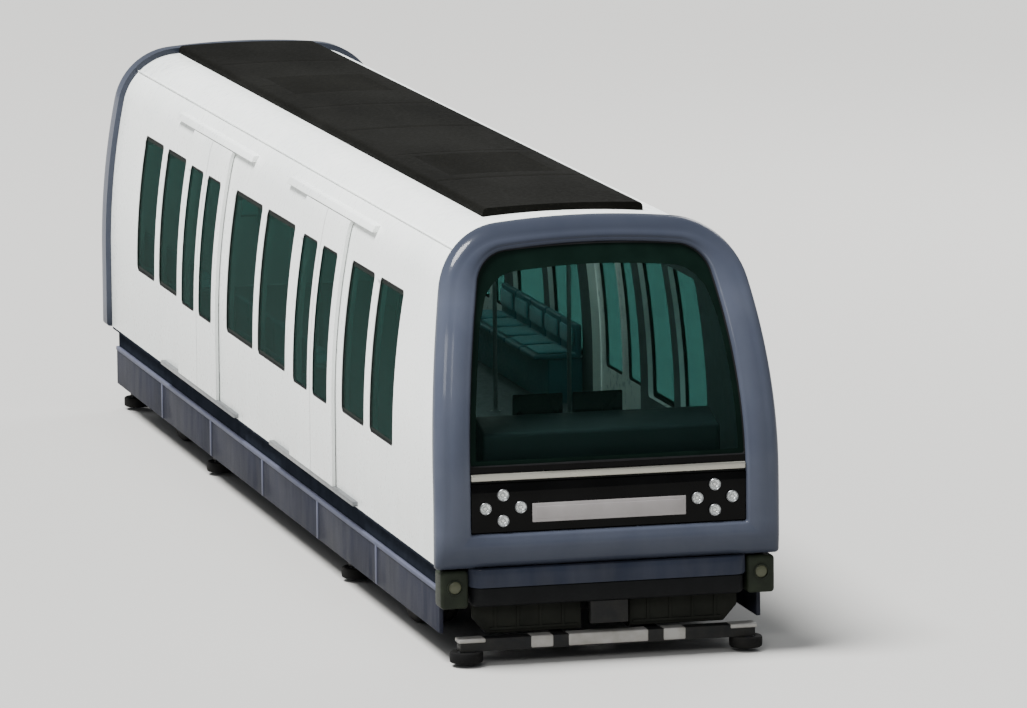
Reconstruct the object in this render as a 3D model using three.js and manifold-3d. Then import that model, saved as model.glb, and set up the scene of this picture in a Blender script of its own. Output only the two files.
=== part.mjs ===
// Light rail train car: the leading car of a rubber-tyred train that runs on two concrete strips.
// Millimetres, X across the car, +Y to the rear, +Z up.
// The origin lies on the running surface, under the middle of the car.
import * as THREE from 'three';
import { mergeVertices } from 'three/addons/utils/BufferGeometryUtils.js';
import Module from 'manifold-3d';

const wasm = await Module();
wasm.setup();

// Length of the car
const FRONT_Y = -6775;
const COUPLER_REAR_Y = 6775;
const BODY_REAR_Y = 6225;
const HOOP_REAR_Y = 6475;
const MID_Y = (FRONT_Y + BODY_REAR_Y) / 2;
const PATTERN_Y = MID_Y + 240;
const SEAT_GAP = 0.3;

// Cross-section of the body: upright side, leaning side, round shoulder, flat crown
const HALF_WIDTH = 1325;
const SIDE_LOW_Z = 770;
const SPRING_Z = 1473;
const SIDE_RADIUS = 6980;
const SIDE_TURN = THREE.MathUtils.degToRad(11.59);
const SHOULDER_RADIUS = 538;
const CROWN_START = THREE.MathUtils.degToRad(84.3);
const SEAM_ANGLE = THREE.MathUtils.degToRad(45);
const WALL = 70;
const LEVELS = [1200, SPRING_Z, 1750, 2000, 2250, 2500, 2700, 2850, 2930];
const FAIRING_HALF = 650;
const CROWN_STATIONS = [FAIRING_HALF, 330, 0];
const SHOULDER_STEPS = 4;

// Lean of the front: upright to RAKE_Z, then an arc towards the rear
const RAKE_Z = 1200;
const RAKE_RADIUS = 4000;
const LEAN_LEVELS = [...LEVELS, 3050, 3150, 3250, 3350];

// Hoops that frame the front and the rear
const HOOP_PROUD = 50;
const HOOP_FACE = 275;
const HOOP_DEPTH = 140;
const HOOP_ROUND = 80;
const HOOP_TURN = THREE.MathUtils.degToRad(12.6);
const HOOP_SHOULDER = 280;
const HOOP_SILL_Z = 1040;

// Front between the hoop's legs
const GLASS_RECESS = 70;
const GLASS = 14;
const WINDSCREEN_LOW_Z = 1560;
const PANEL_RECESS = 75;
const PANEL = 40;
const BAND_HALF = 1098;
const BAND_LOW_Z = 1046;
const BAND_HIGH_Z = 1433;
const BAND = 25;
const STRIP_LOW_Z = 1450;
const STRIP_HIGH_Z = 1510;
const PLATE_HALF = 615;
const PLATE_LOW_Z = 1115;
const PLATE_HIGH_Z = 1268;
const PLATE = 12;
const LAMP_RADIUS = 47;
const LAMP_PROUD = 20;
const CLUSTER_X = 845;
const CLUSTER_Z = 1240;
const LAMP_REACH_X = 140;
const LAMP_REACH_Z = 100;

// Floor and underframe
const FLOOR_Z = 1100;
const FLOOR = 80;
const SOLE = 75;
const SOLE_LOW_Z = 680;
const SKIRT = 40;
const SKIRT_LOW_Z = 230;
const SKIRT_HIGH_Z = 745;
const BOLSTER_Z = 800;

// Windows and doorways, as distances from the middle of their pattern
const WINDOW_LOW_Z = 1470;
const WINDOW_HIGH_Z = 2710;
const WINDOW_ROUND = 45;
const WINDOW_LIP = 25;
const WINDOW_MARGIN = 30;
const DOOR_MID = 2260;
const DOOR_HALF = 765;
const DOOR_HIGH_Z = 2950;
const LEAF_GAP = 8;
const LEAF = 28;
const LEAF_WIDTH = 797;
const LEAF_MEET = 3;
const LEAF_LOW_Z = 822;
const LEAF_HIGH_Z = 2996;
const LEAF_WINDOW_IN = 95;
const LEAF_WINDOW_OUT = 630;
const TRACK_REACH = 1560;
const TRACK_PROUD = 42;
const TRACK_LOW_Z = 3004;
const TRACK_HIGH_Z = 3060;
const RAIL_LOW_Z = 786;

// End door
const END_WALL = 80;
const END_DOOR_HALF = 380;
const END_DOOR_HIGH_Z = 3000;
const END_DOOR_GAP = 6;
const END_DOOR = 45;
const KNUCKLE_RADIUS = 14;
const KNUCKLE = 60;

// Running gear
const AXLE_OFFSET = 4500;
const TYRE_RADIUS = 475;
const TYRE_WIDTH = 340;
const TYRE_SIDES = 32;
const RIM_RADIUS = 290;
const WHEEL_X = 950;
const GUIDE_REACH = 1850;
const GUIDE_X = 1120;
const GUIDE_RADIUS = 130;
const GUIDE_LOW_Z = 30;
const GUIDE_TOP_Z = 118;
const GUIDE_SIDES = 20;
const BAR_HIGH_Z = 215;

// Centres and radii that follow from the cross-section
function sectionOf(half, sideRadius, turn, shoulderRadius) {
  const side = { x: half - sideRadius, z: SPRING_Z, radius: sideRadius };
  const reach = sideRadius - shoulderRadius;
  const shoulder = {
    x: side.x + reach * Math.cos(turn),
    z: side.z + reach * Math.sin(turn),
    radius: shoulderRadius,
  };
  const drop = shoulder.x / Math.cos(CROWN_START);
  const crown = { x: 0, z: shoulder.z - drop * Math.sin(CROWN_START), radius: drop + shoulderRadius };
  return { half, turn, side, shoulder, crown };
}

const BODY = sectionOf(HALF_WIDTH, SIDE_RADIUS, SIDE_TURN, SHOULDER_RADIUS);
const OPENING = sectionOf(
  HALF_WIDTH + HOOP_PROUD - HOOP_FACE,
  SIDE_RADIUS + HOOP_PROUD - HOOP_FACE,
  HOOP_TURN,
  HOOP_SHOULDER,
);

function sideTop(section, offset) {
  return SPRING_Z + (section.side.radius + offset) * Math.sin(section.turn);
}

function sideX(section, z, offset) {
  if (z <= SPRING_Z) return section.half + offset;
  const arc = z <= sideTop(section, offset) ? section.side : section.shoulder;
  return arc.x + Math.sqrt((arc.radius + offset) ** 2 - (z - arc.z) ** 2);
}

function wallLine(section, offset, low, high) {
  const between = LEVELS.filter((z) => z > low + 1 && z < high - 1);
  return [low, ...between, high].map((z) => [sideX(section, z, offset), z]);
}

function arcLine(circle, offset, from, to, steps) {
  return Array.from({ length: steps + 1 }, (_, i) => {
    const angle = from + ((to - from) * i) / steps;
    const radius = circle.radius + offset;
    return [circle.x + radius * Math.cos(angle), circle.z + radius * Math.sin(angle)];
  });
}

function sideLine(section, offset, low) {
  return wallLine(section, offset, low, sideTop(section, offset));
}

function crownLine(section, offset) {
  const radius = section.crown.radius + offset;
  return CROWN_STATIONS.map((x) => [x, section.crown.z + Math.sqrt(radius ** 2 - x ** 2)]);
}

// The wall's side of the seam, from its low edge up to the seam
function wallHalf(offset) {
  const shoulder = arcLine(BODY.shoulder, offset, SIDE_TURN, SEAM_ANGLE, SHOULDER_STEPS);
  return [...sideLine(BODY, offset, SIDE_LOW_Z), ...shoulder.slice(1)];
}

// The roof's side of the seam, from the seam to the middle
function roofHalf(offset) {
  const start = SEAM_ANGLE + SEAT_GAP / SHOULDER_RADIUS;
  return [...arcLine(BODY.shoulder, offset, start, CROWN_START, SHOULDER_STEPS), ...crownLine(BODY, offset)];
}

function fullHalf(section, offset, low) {
  const shoulder = arcLine(section.shoulder, offset, section.turn, CROWN_START, 2 * SHOULDER_STEPS);
  return [...sideLine(section, offset, low), ...shoulder.slice(1), ...crownLine(section, offset)];
}

function mirrored(half) {
  const other = half.slice(0, -1).reverse().map(([x, z]) => [-x, z]);
  return [...half, ...other];
}

function band(outer, inner, side) {
  return [...outer, ...inner.slice().reverse()].map(([x, z]) => [side * x, z]);
}

function setback(z) {
  const rise = Math.max(0, z - RAKE_Z);
  return RAKE_RADIUS - Math.sqrt(RAKE_RADIUS ** 2 - rise ** 2);
}

// Line in (y, z) that leans as the front does, at a distance behind its face
function leanLine(recess, low, high) {
  const between = LEAN_LEVELS.filter((z) => z > low && z < high);
  return [low, ...between, high].map((z) => [FRONT_Y + recess + setback(z), z]);
}

// Shapes and extrusions
function shapeOf(points) {
  return new THREE.Shape(points.map(([a, b]) => new THREE.Vector2(a, b)));
}

function holeOf(points) {
  return new THREE.Path(points.map(([a, b]) => new THREE.Vector2(a, b)));
}

function roundedShape(u0, u1, v0, v1, radius) {
  const shape = new THREE.Shape();
  shape.absarc(u1 - radius, v0 + radius, radius, -Math.PI / 2, 0);
  shape.absarc(u1 - radius, v1 - radius, radius, 0, Math.PI / 2);
  shape.absarc(u0 + radius, v1 - radius, radius, Math.PI / 2, Math.PI);
  shape.absarc(u0 + radius, v0 + radius, radius, Math.PI, 1.5 * Math.PI);
  return shape;
}

function archShape(u0, u1, v0, v1, radius) {
  const shape = new THREE.Shape();
  shape.moveTo(u0, v0);
  shape.lineTo(u1, v0);
  shape.absarc(u1 - radius, v1 - radius, radius, 0, Math.PI / 2);
  shape.absarc(u0 + radius, v1 - radius, radius, Math.PI / 2, Math.PI);
  return shape;
}

function extruded(shape, depth) {
  return new THREE.ExtrudeGeometry(shape, { depth, bevelEnabled: false, curveSegments: 3 });
}

// Outline in (x, z), from y0 to y1
function alongY(shape, y0, y1) {
  return extruded(shape, y1 - y0).rotateX(Math.PI / 2).translate(0, y1, 0);
}

// Outline in (y, z), from x0 to x1
function alongX(shape, x0, x1) {
  const turn = new THREE.Matrix4().makeBasis(
    new THREE.Vector3(0, 1, 0),
    new THREE.Vector3(0, 0, 1),
    new THREE.Vector3(1, 0, 0),
  );
  return extruded(shape, x1 - x0).applyMatrix4(turn).translate(x0, 0, 0);
}

// Outline in (x, y), from z0 to z1
function alongZ(shape, z0, z1) {
  return extruded(shape, z1 - z0).translate(0, 0, z0);
}

function box(x0, x1, y0, y1, z0, z1) {
  const block = new THREE.BoxGeometry(x1 - x0, y1 - y0, z1 - z0);
  return block.translate((x0 + x1) / 2, (y0 + y1) / 2, (z0 + z1) / 2);
}

// Round bar from start along one axis
function bar(axis, radius, start, length, sides) {
  const rod = new THREE.CylinderGeometry(radius, radius, length, sides).translate(0, length / 2, 0);
  if (axis === 'x') rod.rotateZ(-Math.PI / 2);
  if (axis === 'z') rod.rotateX(Math.PI / 2);
  return rod.translate(start[0], start[1], start[2]);
}

// Joining and cutting: points are first set on a fine grid, so that faces meant to be level are level
const STEPS_PER_MM = 100;

function toSolid(geometry) {
  const bare = geometry.clone();
  bare.deleteAttribute('normal');
  bare.deleteAttribute('uv');
  const place = bare.attributes.position.array;
  for (let i = 0; i < place.length; i += 1) place[i] = Math.round(place[i] * STEPS_PER_MM) / STEPS_PER_MM;
  const welded = mergeVertices(bare);
  return new wasm.Manifold(new wasm.Mesh({
    numProp: 3,
    vertProperties: new Float32Array(welded.attributes.position.array),
    triVerts: new Uint32Array(welded.index.array),
  }));
}

function toGeometry(solid) {
  const mesh = solid.getMesh();
  const geometry = new THREE.BufferGeometry();
  geometry.setAttribute('position', new THREE.Float32BufferAttribute(mesh.vertProperties, 3));
  geometry.setIndex(Array.from(mesh.triVerts));
  geometry.computeVertexNormals();
  return geometry;
}

function join(...pieces) {
  return toGeometry(pieces.map(toSolid).reduce((all, next) => all.add(next)));
}

function cut(piece, ...tools) {
  return toGeometry(tools.map(toSolid).reduce((rest, tool) => rest.subtract(tool), toSolid(piece)));
}

function meet(a, b) {
  return toGeometry(toSolid(a).intersect(toSolid(b)));
}

// Moves every point that lies in front of limit back by the front's lean
function leanFront(geometry, limit) {
  const place = geometry.attributes.position;
  for (let i = 0; i < place.count; i += 1) {
    if (place.getY(i) < limit) place.setY(i, place.getY(i) + setback(place.getZ(i)));
  }
  return geometry;
}

const car = new THREE.Group();

function paint(color, roughness, metalness) {
  return new THREE.MeshStandardMaterial({ color, roughness, metalness });
}

const FINISH = {
  white: () => paint(0xf4f4f2, 0.35, 0.0),
  slate: () => paint(0x4b5168, 0.32, 0.1),
  skirtSlate: () => paint(0x3a3d55, 0.45, 0.1),
  roofDark: () => paint(0x2e2b29, 0.8, 0.0),
  glass: () => paint(0x1f3f3a, 0.08, 0.0),
  black: () => paint(0x141516, 0.5, 0.0),
  grey: () => paint(0xa9a4a3, 0.45, 0.2),
  silver: () => paint(0xb5b3a8, 0.3, 0.9),
  steel: () => paint(0x7d7f80, 0.4, 0.8),
  undergear: () => paint(0x26272a, 0.7, 0.3),
  rubber: () => paint(0x1a1a1b, 0.9, 0.0),
  floor: () => paint(0x5c6064, 0.8, 0.0),
  seat: () => paint(0x3f6f78, 0.85, 0.0),
};

function add(parent, name, geometry, finish, place = [0, 0, 0]) {
  const mesh = new THREE.Mesh(geometry, FINISH[finish]());
  mesh.name = name;
  mesh.position.set(...place);
  parent.add(mesh);
  return mesh;
}

const SIDES = [
  { name: 'left', side: -1 },
  { name: 'right', side: 1 },
];

// Window pairs on each side: name, first pane, second pane, from the middle of the pattern
const WINDOW_PAIRS = [
  { name: 'front', panes: [[-5050, -4250], [-4060, -3260]] },
  { name: 'middle', panes: [[-1170, -95], [95, 1170]] },
  { name: 'rear', panes: [[3260, 4060], [4250, 5050]] },
];

// Doorways on each side
const DOORWAYS = [
  { name: 'front', y: PATTERN_Y - DOOR_MID },
  { name: 'rear', y: PATTERN_Y + DOOR_MID },
];

// Bogies
const BOGIES = [
  { name: 'front', y: MID_Y - AXLE_OFFSET },
  { name: 'rear', y: MID_Y + AXLE_OFFSET },
];

const BODY_FRONT_Y = FRONT_Y + HOOP_DEPTH + 2;
const BODY_END_Y = BODY_REAR_Y - END_WALL - SEAT_GAP;
const INNER_HALF = HALF_WIDTH - WALL - SEAT_GAP;
const REACH = 2000;

function sideCutter(y0, y1, z0, z1, radius) {
  return alongX(roundedShape(y0, y1, z0, z1, radius), -REACH, REACH);
}

// Side walls
function glazingShape(side, outer, inner, margin) {
  const low = WINDOW_LOW_Z - margin;
  const high = WINDOW_HIGH_Z + margin;
  return shapeOf(band(wallLine(BODY, outer, low, high), wallLine(BODY, inner, low, high), side));
}

function pairSpan(pair, margin) {
  return [PATTERN_Y + pair.panes[0][0] - margin, PATTERN_Y + pair.panes[1][1] + margin];
}

function sideWall(side) {
  const shell = alongY(shapeOf(band(wallHalf(0), wallHalf(-WALL), side)), BODY_FRONT_Y, BODY_END_Y);
  leanFront(shell, BODY_FRONT_Y + 1);
  const tools = [];
  for (const pair of WINDOW_PAIRS) {
    for (const [y0, y1] of pair.panes) {
      tools.push(sideCutter(PATTERN_Y + y0, PATTERN_Y + y1, WINDOW_LOW_Z, WINDOW_HIGH_Z, WINDOW_ROUND));
    }
    const pocket = glazingShape(side, -WINDOW_LIP, -2 * WALL, WINDOW_MARGIN);
    tools.push(alongY(pocket, ...pairSpan(pair, WINDOW_MARGIN)));
  }
  for (const door of DOORWAYS) {
    const doorway = archShape(door.y - DOOR_HALF, door.y + DOOR_HALF, FLOOR_Z, DOOR_HIGH_Z, WINDOW_ROUND);
    tools.push(alongX(doorway, -REACH, REACH));
  }
  const runners = DOORWAYS.flatMap((door) => [
    [TRACK_LOW_Z, TRACK_HIGH_Z],
    [RAIL_LOW_Z, LEAF_LOW_Z - SEAT_GAP],
  ].map(([low, high]) => {
    const rail = band(wallLine(BODY, TRACK_PROUD, low, high), wallLine(BODY, -WALL / 2, low, high), side);
    return alongY(shapeOf(rail), door.y - TRACK_REACH, door.y + TRACK_REACH);
  }));
  return join(cut(shell, ...tools), ...runners);
}

for (const { name, side } of SIDES) {
  add(car, `side_wall_${name}`, sideWall(side), 'white');
}

// Window glass: one sheet behind each pair of panes
for (const { name, side } of SIDES) {
  for (const pair of WINDOW_PAIRS) {
    const outer = -WINDOW_LIP - SEAT_GAP;
    const sheet = glazingShape(side, outer, outer - GLASS, WINDOW_MARGIN - 1);
    const glass = alongY(sheet, ...pairSpan(pair, WINDOW_MARGIN - 1));
    add(car, `window_glass_${name}_${pair.name}`, glass, 'glass');
  }
}

// Roof shell between the two seams, and the dark fairing on it
const roofOutline = band(mirrored(roofHalf(0)), mirrored(roofHalf(-WALL)), 1);
const roof = leanFront(alongY(shapeOf(roofOutline), BODY_FRONT_Y, BODY_END_Y), BODY_FRONT_Y + 1);
add(car, 'roof_shell', roof, 'white');

const FAIRING_FRONT_Y = FRONT_Y + 1400;
const FAIRING_TOP_Z = 3395;
const FAIRING_EDGE_Z = 3378;
const fairingTop = [[FAIRING_HALF, FAIRING_EDGE_Z - 30], [FAIRING_HALF - 40, FAIRING_EDGE_Z], [0, FAIRING_TOP_Z]];
const fairingShape = shapeOf(band(mirrored(fairingTop), mirrored(crownLine(BODY, SEAT_GAP)), 1));
add(car, 'roof_fairing', alongY(fairingShape, FAIRING_FRONT_Y, BODY_REAR_Y), 'roofDark');

// Hoops: the front one is a rounded frame whose face leans back, the rear one is upright
function hoopFrame(depth) {
  const shape = shapeOf(mirrored(fullHalf(BODY, HOOP_PROUD, SIDE_LOW_Z)));
  shape.holes.push(holeOf(mirrored(fullHalf(OPENING, 0, HOOP_SILL_Z))));
  const frame = new THREE.ExtrudeGeometry(shape, {
    depth,
    bevelEnabled: true,
    bevelThickness: HOOP_ROUND,
    bevelSize: HOOP_ROUND,
    bevelOffset: -HOOP_ROUND,
    bevelSegments: 3,
  });
  return frame.rotateX(Math.PI / 2).translate(0, HOOP_ROUND + depth, 0);
}

function frontHoop() {
  const frame = hoopFrame(HOOP_DEPTH).translate(0, FRONT_Y, 0);
  const last = FRONT_Y + REACH;
  const behind = shapeOf([...leanLine(HOOP_DEPTH, 0, REACH * 2), [last, REACH * 2], [last, 0]]);
  return cut(leanFront(frame, last), alongX(behind, -REACH, REACH));
}

function rearHoop() {
  const start = BODY_REAR_Y + SEAT_GAP;
  const frame = hoopFrame(HOOP_REAR_Y - start).rotateZ(Math.PI).translate(0, HOOP_REAR_Y, 0);
  return cut(frame, box(-REACH, REACH, start - REACH, start, 0, 2 * REACH));
}

add(car, 'front_hoop', frontHoop(), 'slate');
add(car, 'rear_hoop', rearHoop(), 'slate');

// Windscreen: a curved sheet that fills the hoop's opening
const OPENING_TOP_Z = OPENING.crown.z + OPENING.crown.radius;
const screenFront = leanLine(GLASS_RECESS, WINDSCREEN_LOW_Z, OPENING_TOP_Z);
const screenBack = leanLine(GLASS_RECESS + GLASS, WINDSCREEN_LOW_Z, OPENING_TOP_Z);
const screenSheet = shapeOf([...screenFront, ...screenBack.reverse()]);
const screenEdge = alongY(
  shapeOf(mirrored(fullHalf(OPENING, -2, WINDSCREEN_LOW_Z + SEAT_GAP))),
  FRONT_Y,
  FRONT_Y + REACH,
);
add(car, 'windscreen', meet(alongX(screenSheet, -REACH, REACH), screenEdge), 'glass');

// Panel under the windscreen, with the lamp band, its centre plate and the silver strip
const panelFront = FRONT_Y + PANEL_RECESS;
const bandFront = panelFront - SEAT_GAP - BAND;
add(
  car,
  'front_panel',
  box(-BAND_HALF, BAND_HALF, panelFront, panelFront + PANEL, HOOP_SILL_Z + SEAT_GAP, WINDSCREEN_LOW_Z),
  'slate',
);

function lampBand() {
  const plate = box(-BAND_HALF, BAND_HALF, bandFront, bandFront + BAND, BAND_LOW_Z, BAND_HIGH_Z);
  const lamps = [-1, 1].flatMap((side) => [[-1, 0], [1, 0], [0, -1], [0, 1]].map(([across, up]) => {
    const x = side * CLUSTER_X + across * LAMP_REACH_X;
    const z = CLUSTER_Z + up * LAMP_REACH_Z;
    return bar('y', LAMP_RADIUS, [x, bandFront - LAMP_PROUD, z], LAMP_PROUD + BAND / 2, 20);
  }));
  return join(plate, ...lamps);
}

add(car, 'lamp_band', lampBand(), 'black');
add(
  car,
  'front_plate',
  box(-PLATE_HALF, PLATE_HALF, bandFront - SEAT_GAP - PLATE, bandFront - SEAT_GAP, PLATE_LOW_Z, PLATE_HIGH_Z),
  'grey',
);
add(
  car,
  'silver_strip',
  box(-BAND_HALF, BAND_HALF, bandFront, panelFront - SEAT_GAP, STRIP_LOW_Z, STRIP_HIGH_Z),
  'silver',
);

// Floor
const FLOOR_LOW_Z = FLOOR_Z - FLOOR;
const floorSlab = box(
  -INNER_HALF,
  INNER_HALF,
  FRONT_Y + HOOP_DEPTH + SEAT_GAP,
  BODY_END_Y,
  FLOOR_LOW_Z,
  FLOOR_Z - SEAT_GAP,
);
add(car, 'floor', floorSlab, 'floor');

// Underframe: sole bars, end beams, bolsters, spine and the cases hung between the bogies
const FRAME_TOP_Z = FLOOR_LOW_Z - SEAT_GAP;
const FRAME_FRONT_Y = FRONT_Y + 320;
const FRAME_REAR_Y = BODY_END_Y;
const SOLE_IN = INNER_HALF - SOLE;
const END_BEAM_Z = 600;
const CASE_HALF = 1080;
const SOLE_JOIN = SOLE_IN + 30;
const underframeBlocks = [
  // x0, x1, y0, y1, z0, distance of the top below the floor
  [SOLE_IN, INNER_HALF, FRAME_FRONT_Y, FRAME_REAR_Y, SOLE_LOW_Z, 0],
  [-INNER_HALF, -SOLE_IN, FRAME_FRONT_Y, FRAME_REAR_Y, SOLE_LOW_Z, 0],
  [-SOLE_JOIN, SOLE_JOIN, FRAME_FRONT_Y + 10, FRAME_FRONT_Y + 130, END_BEAM_Z + 120, 12],
  [-SOLE_JOIN, SOLE_JOIN, FRAME_REAR_Y - 130, FRAME_REAR_Y - 10, END_BEAM_Z + 120, 12],
  [-SOLE_JOIN, SOLE_JOIN, MID_Y - 2900, MID_Y - 2780, 880, 12],
  [-SOLE_JOIN, SOLE_JOIN, MID_Y + 2780, MID_Y + 2900, 880, 12],
  [-330, 330, FRAME_FRONT_Y + 20, FRAME_REAR_Y - 20, BOLSTER_Z + 40, 24],
  [-300, 300, FRAME_FRONT_Y + 30, FRAME_FRONT_Y + 530, END_BEAM_Z, 36],
  [-300, 300, FRAME_REAR_Y - 530, FRAME_REAR_Y - 30, END_BEAM_Z, 36],
  [-640, 640, BOGIES[0].y - 420, BOGIES[0].y + 420, BOLSTER_Z, 48],
  [-640, 640, BOGIES[1].y - 420, BOGIES[1].y + 420, BOLSTER_Z, 48],
  [-CASE_HALF, CASE_HALF, MID_Y - 2350, MID_Y - 950, 420, 60],
  [-CASE_HALF, CASE_HALF, MID_Y - 780, MID_Y + 620, 380, 60],
  [-CASE_HALF, CASE_HALF, MID_Y + 800, MID_Y + 2350, 440, 60],
].map(([x0, x1, y0, y1, z0, below]) => box(x0, x1, y0, y1, z0, FRAME_TOP_Z - below));
add(car, 'underframe', join(...underframeBlocks), 'undergear');

// Skirts on the sole bars
for (const { name, side } of SIDES) {
  const xs = [side * (INNER_HALF + SEAT_GAP), side * (INNER_HALF + SEAT_GAP + SKIRT)].sort((a, b) => a - b);
  const skirt = box(...xs, FRAME_FRONT_Y, BODY_REAR_Y - 20, SKIRT_LOW_Z, SKIRT_HIGH_Z);
  add(car, `skirt_${name}`, skirt, 'skirtSlate');
}

// Bumper with a lamp housing at each corner
const BUMPER_HALF = 1110;
const BUMPER_LOW_Z = 470;
const BUMPER_BACK_Y = FRAME_FRONT_Y - SEAT_GAP;
const bumperPlan = roundedShape(-BUMPER_HALF, BUMPER_HALF, FRONT_Y + 25, BUMPER_BACK_Y + 120, 110);
const bumperFace = cut(
  alongZ(bumperPlan, BUMPER_LOW_Z, SIDE_LOW_Z - SEAT_GAP),
  box(-REACH, REACH, BUMPER_BACK_Y, BUMPER_BACK_Y + REACH, 0, REACH),
);
const cornerLamps = box(-1310, 1310, FRONT_Y + 130, FRONT_Y + 210, 560, 700);
// Apron under the bumper in two halves, with the coupler between them
const APRON_LOW_Z = 235;
const aprons = SIDES.map(({ side }) => {
  const outline = [[190, 480], [1060, 480], [1060, 360], [950, APRON_LOW_Z], [190, APRON_LOW_Z]];
  return alongY(shapeOf(outline.map(([x, z]) => [side * x, z])), FRONT_Y + 180, FRONT_Y + 250);
});
add(car, 'front_bumper', join(bumperFace, cornerLamps, ...aprons), 'skirtSlate');

// Rear wall with its doorway, tail lamps and the wall half of the hinges
const KNUCKLE_X = -END_DOOR_HALF + 6;
const KNUCKLE_Y = BODY_REAR_Y + KNUCKLE_RADIUS + 1;
const KNUCKLES_Z = [1450, 2650];

function rearWall() {
  const outline = shapeOf(mirrored(fullHalf(BODY, 0, SIDE_LOW_Z)));
  const slab = alongY(outline, BODY_REAR_Y - END_WALL, BODY_REAR_Y);
  const doorway = alongY(
    roundedShape(-END_DOOR_HALF, END_DOOR_HALF, FLOOR_Z, END_DOOR_HIGH_Z, WINDOW_ROUND),
    0,
    2 * BODY_REAR_Y,
  );
  const lamps = [-1, 1].map((side) => bar('y', 75, [side * 950, BODY_REAR_Y - 20, 1250], 35, 20));
  const knuckles = KNUCKLES_Z.flatMap((z) => [
    bar('z', KNUCKLE_RADIUS, [KNUCKLE_X, KNUCKLE_Y, z - KNUCKLE], KNUCKLE, 12),
    box(KNUCKLE_X - 80, KNUCKLE_X, BODY_REAR_Y - 10, KNUCKLE_Y, z - KNUCKLE, z),
  ]);
  return join(cut(slab, doorway), ...lamps, ...knuckles);
}

add(car, 'rear_wall', rearWall(), 'white');

// End door with its window and its half of the hinges
function endDoor() {
  const inset = END_DOOR_GAP;
  const half = END_DOOR_HALF - inset;
  const back = BODY_REAR_Y - 2;
  const leaf = alongY(
    roundedShape(-half, half, FLOOR_Z + inset, END_DOOR_HIGH_Z - inset, WINDOW_ROUND - inset),
    back - END_DOOR,
    back,
  );
  const pane = alongY(roundedShape(-250, 250, 1750, 2800, WINDOW_ROUND), back - REACH, back + REACH);
  const knuckles = KNUCKLES_Z.flatMap((z) => [
    bar('z', KNUCKLE_RADIUS, [KNUCKLE_X, KNUCKLE_Y, z + SEAT_GAP], KNUCKLE, 12),
    box(KNUCKLE_X, KNUCKLE_X + 90, back - 5, KNUCKLE_Y, z + SEAT_GAP, z + SEAT_GAP + KNUCKLE),
  ]);
  return join(cut(leaf, pane), ...knuckles);
}

add(car, 'rear_door', endDoor(), 'white');

// Sliding door leaves, hung outside the wall and running on its rail
function doorLeaf(side, toward) {
  const outer = LEAF_GAP + LEAF;
  const profile = band(
    wallLine(BODY, outer, LEAF_LOW_Z, LEAF_HIGH_Z),
    wallLine(BODY, LEAF_GAP, LEAF_LOW_Z, LEAF_HIGH_Z),
    side,
  );
  const span = [toward * LEAF_MEET, toward * (LEAF_MEET + LEAF_WIDTH)].sort((a, b) => a - b);
  const pane = [toward * LEAF_WINDOW_IN, toward * LEAF_WINDOW_OUT].sort((a, b) => a - b);
  const leaf = alongY(shapeOf(profile), ...span);
  return cut(leaf, sideCutter(...pane, WINDOW_LOW_Z, WINDOW_HIGH_Z, WINDOW_ROUND));
}

for (const { name, side } of SIDES) {
  for (const door of DOORWAYS) {
    add(car, `door_${name}_${door.name}_a`, doorLeaf(side, -1), 'white', [0, door.y, 0]);
    add(car, `door_${name}_${door.name}_b`, doorLeaf(side, 1), 'white', [0, door.y, 0]);
  }
}

// Benches along the sides: name, and the span from the middle of the pattern
const BENCHES = [
  { name: 'middle', from: -1280, to: 1280 },
  { name: 'rear', from: 3250, to: 5350 },
];
const SEAT_BASE_Z = FLOOR_Z;

function benchProfile(side) {
  return shapeOf([
    [INNER_HALF, SEAT_BASE_Z],
    [INNER_HALF, 1380],
    [INNER_HALF - 14, 1760],
    [INNER_HALF - 65, 1780],
    [INNER_HALF - 110, 1600],
    [INNER_HALF - 120, 1560],
    [800, 1550],
    [790, 1480],
    [880, 1450],
    [930, SEAT_BASE_Z],
  ].map(([x, z]) => [side * x, z]));
}

for (const { name, side } of SIDES) {
  for (const bench of BENCHES) {
    const seat = alongY(benchProfile(side), PATTERN_Y + bench.from, PATTERN_Y + bench.to);
    add(car, `bench_${name}_${bench.name}`, seat, 'seat');
  }
}

// Console behind the windscreen
const consoleShape = shapeOf([
  [FRONT_Y + 240, FLOOR_Z],
  [FRONT_Y + 700, FLOOR_Z],
  [FRONT_Y + 780, 1620],
  [FRONT_Y + 560, 1880],
  [FRONT_Y + 240, 1780],
]);
add(car, 'console', alongX(consoleShape, -950, 950), 'grey');

// Grab poles: two rails under the ceiling, joined across, with posts to the floor and stubs to the roof
function grabPoles() {
  const radius = 18;
  const railX = 420;
  const railZ = 2950;
  const span = 3900;
  const crossings = [-3900, -1450, 1450, 3900];
  const ceiling = crownLine(BODY, -WALL);
  const ceilingZ = ceiling[0][1] + ((ceiling[1][1] - ceiling[0][1]) * (650 - railX)) / (650 - 330);
  const pieces = [];
  for (const side of [-1, 1]) {
    pieces.push(bar('y', radius, [side * railX, PATTERN_Y - span, railZ], 2 * span, 8));
    for (const y of crossings) {
      pieces.push(bar('z', radius, [side * railX, PATTERN_Y + y, FLOOR_Z], ceilingZ - FLOOR_Z - 2, 8));
    }
  }
  for (const y of crossings) {
    pieces.push(bar('x', radius, [-railX, PATTERN_Y + y, railZ], 2 * railX, 8));
  }
  return join(...pieces);
}

add(car, 'grab_poles', grabPoles(), 'steel');

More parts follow.
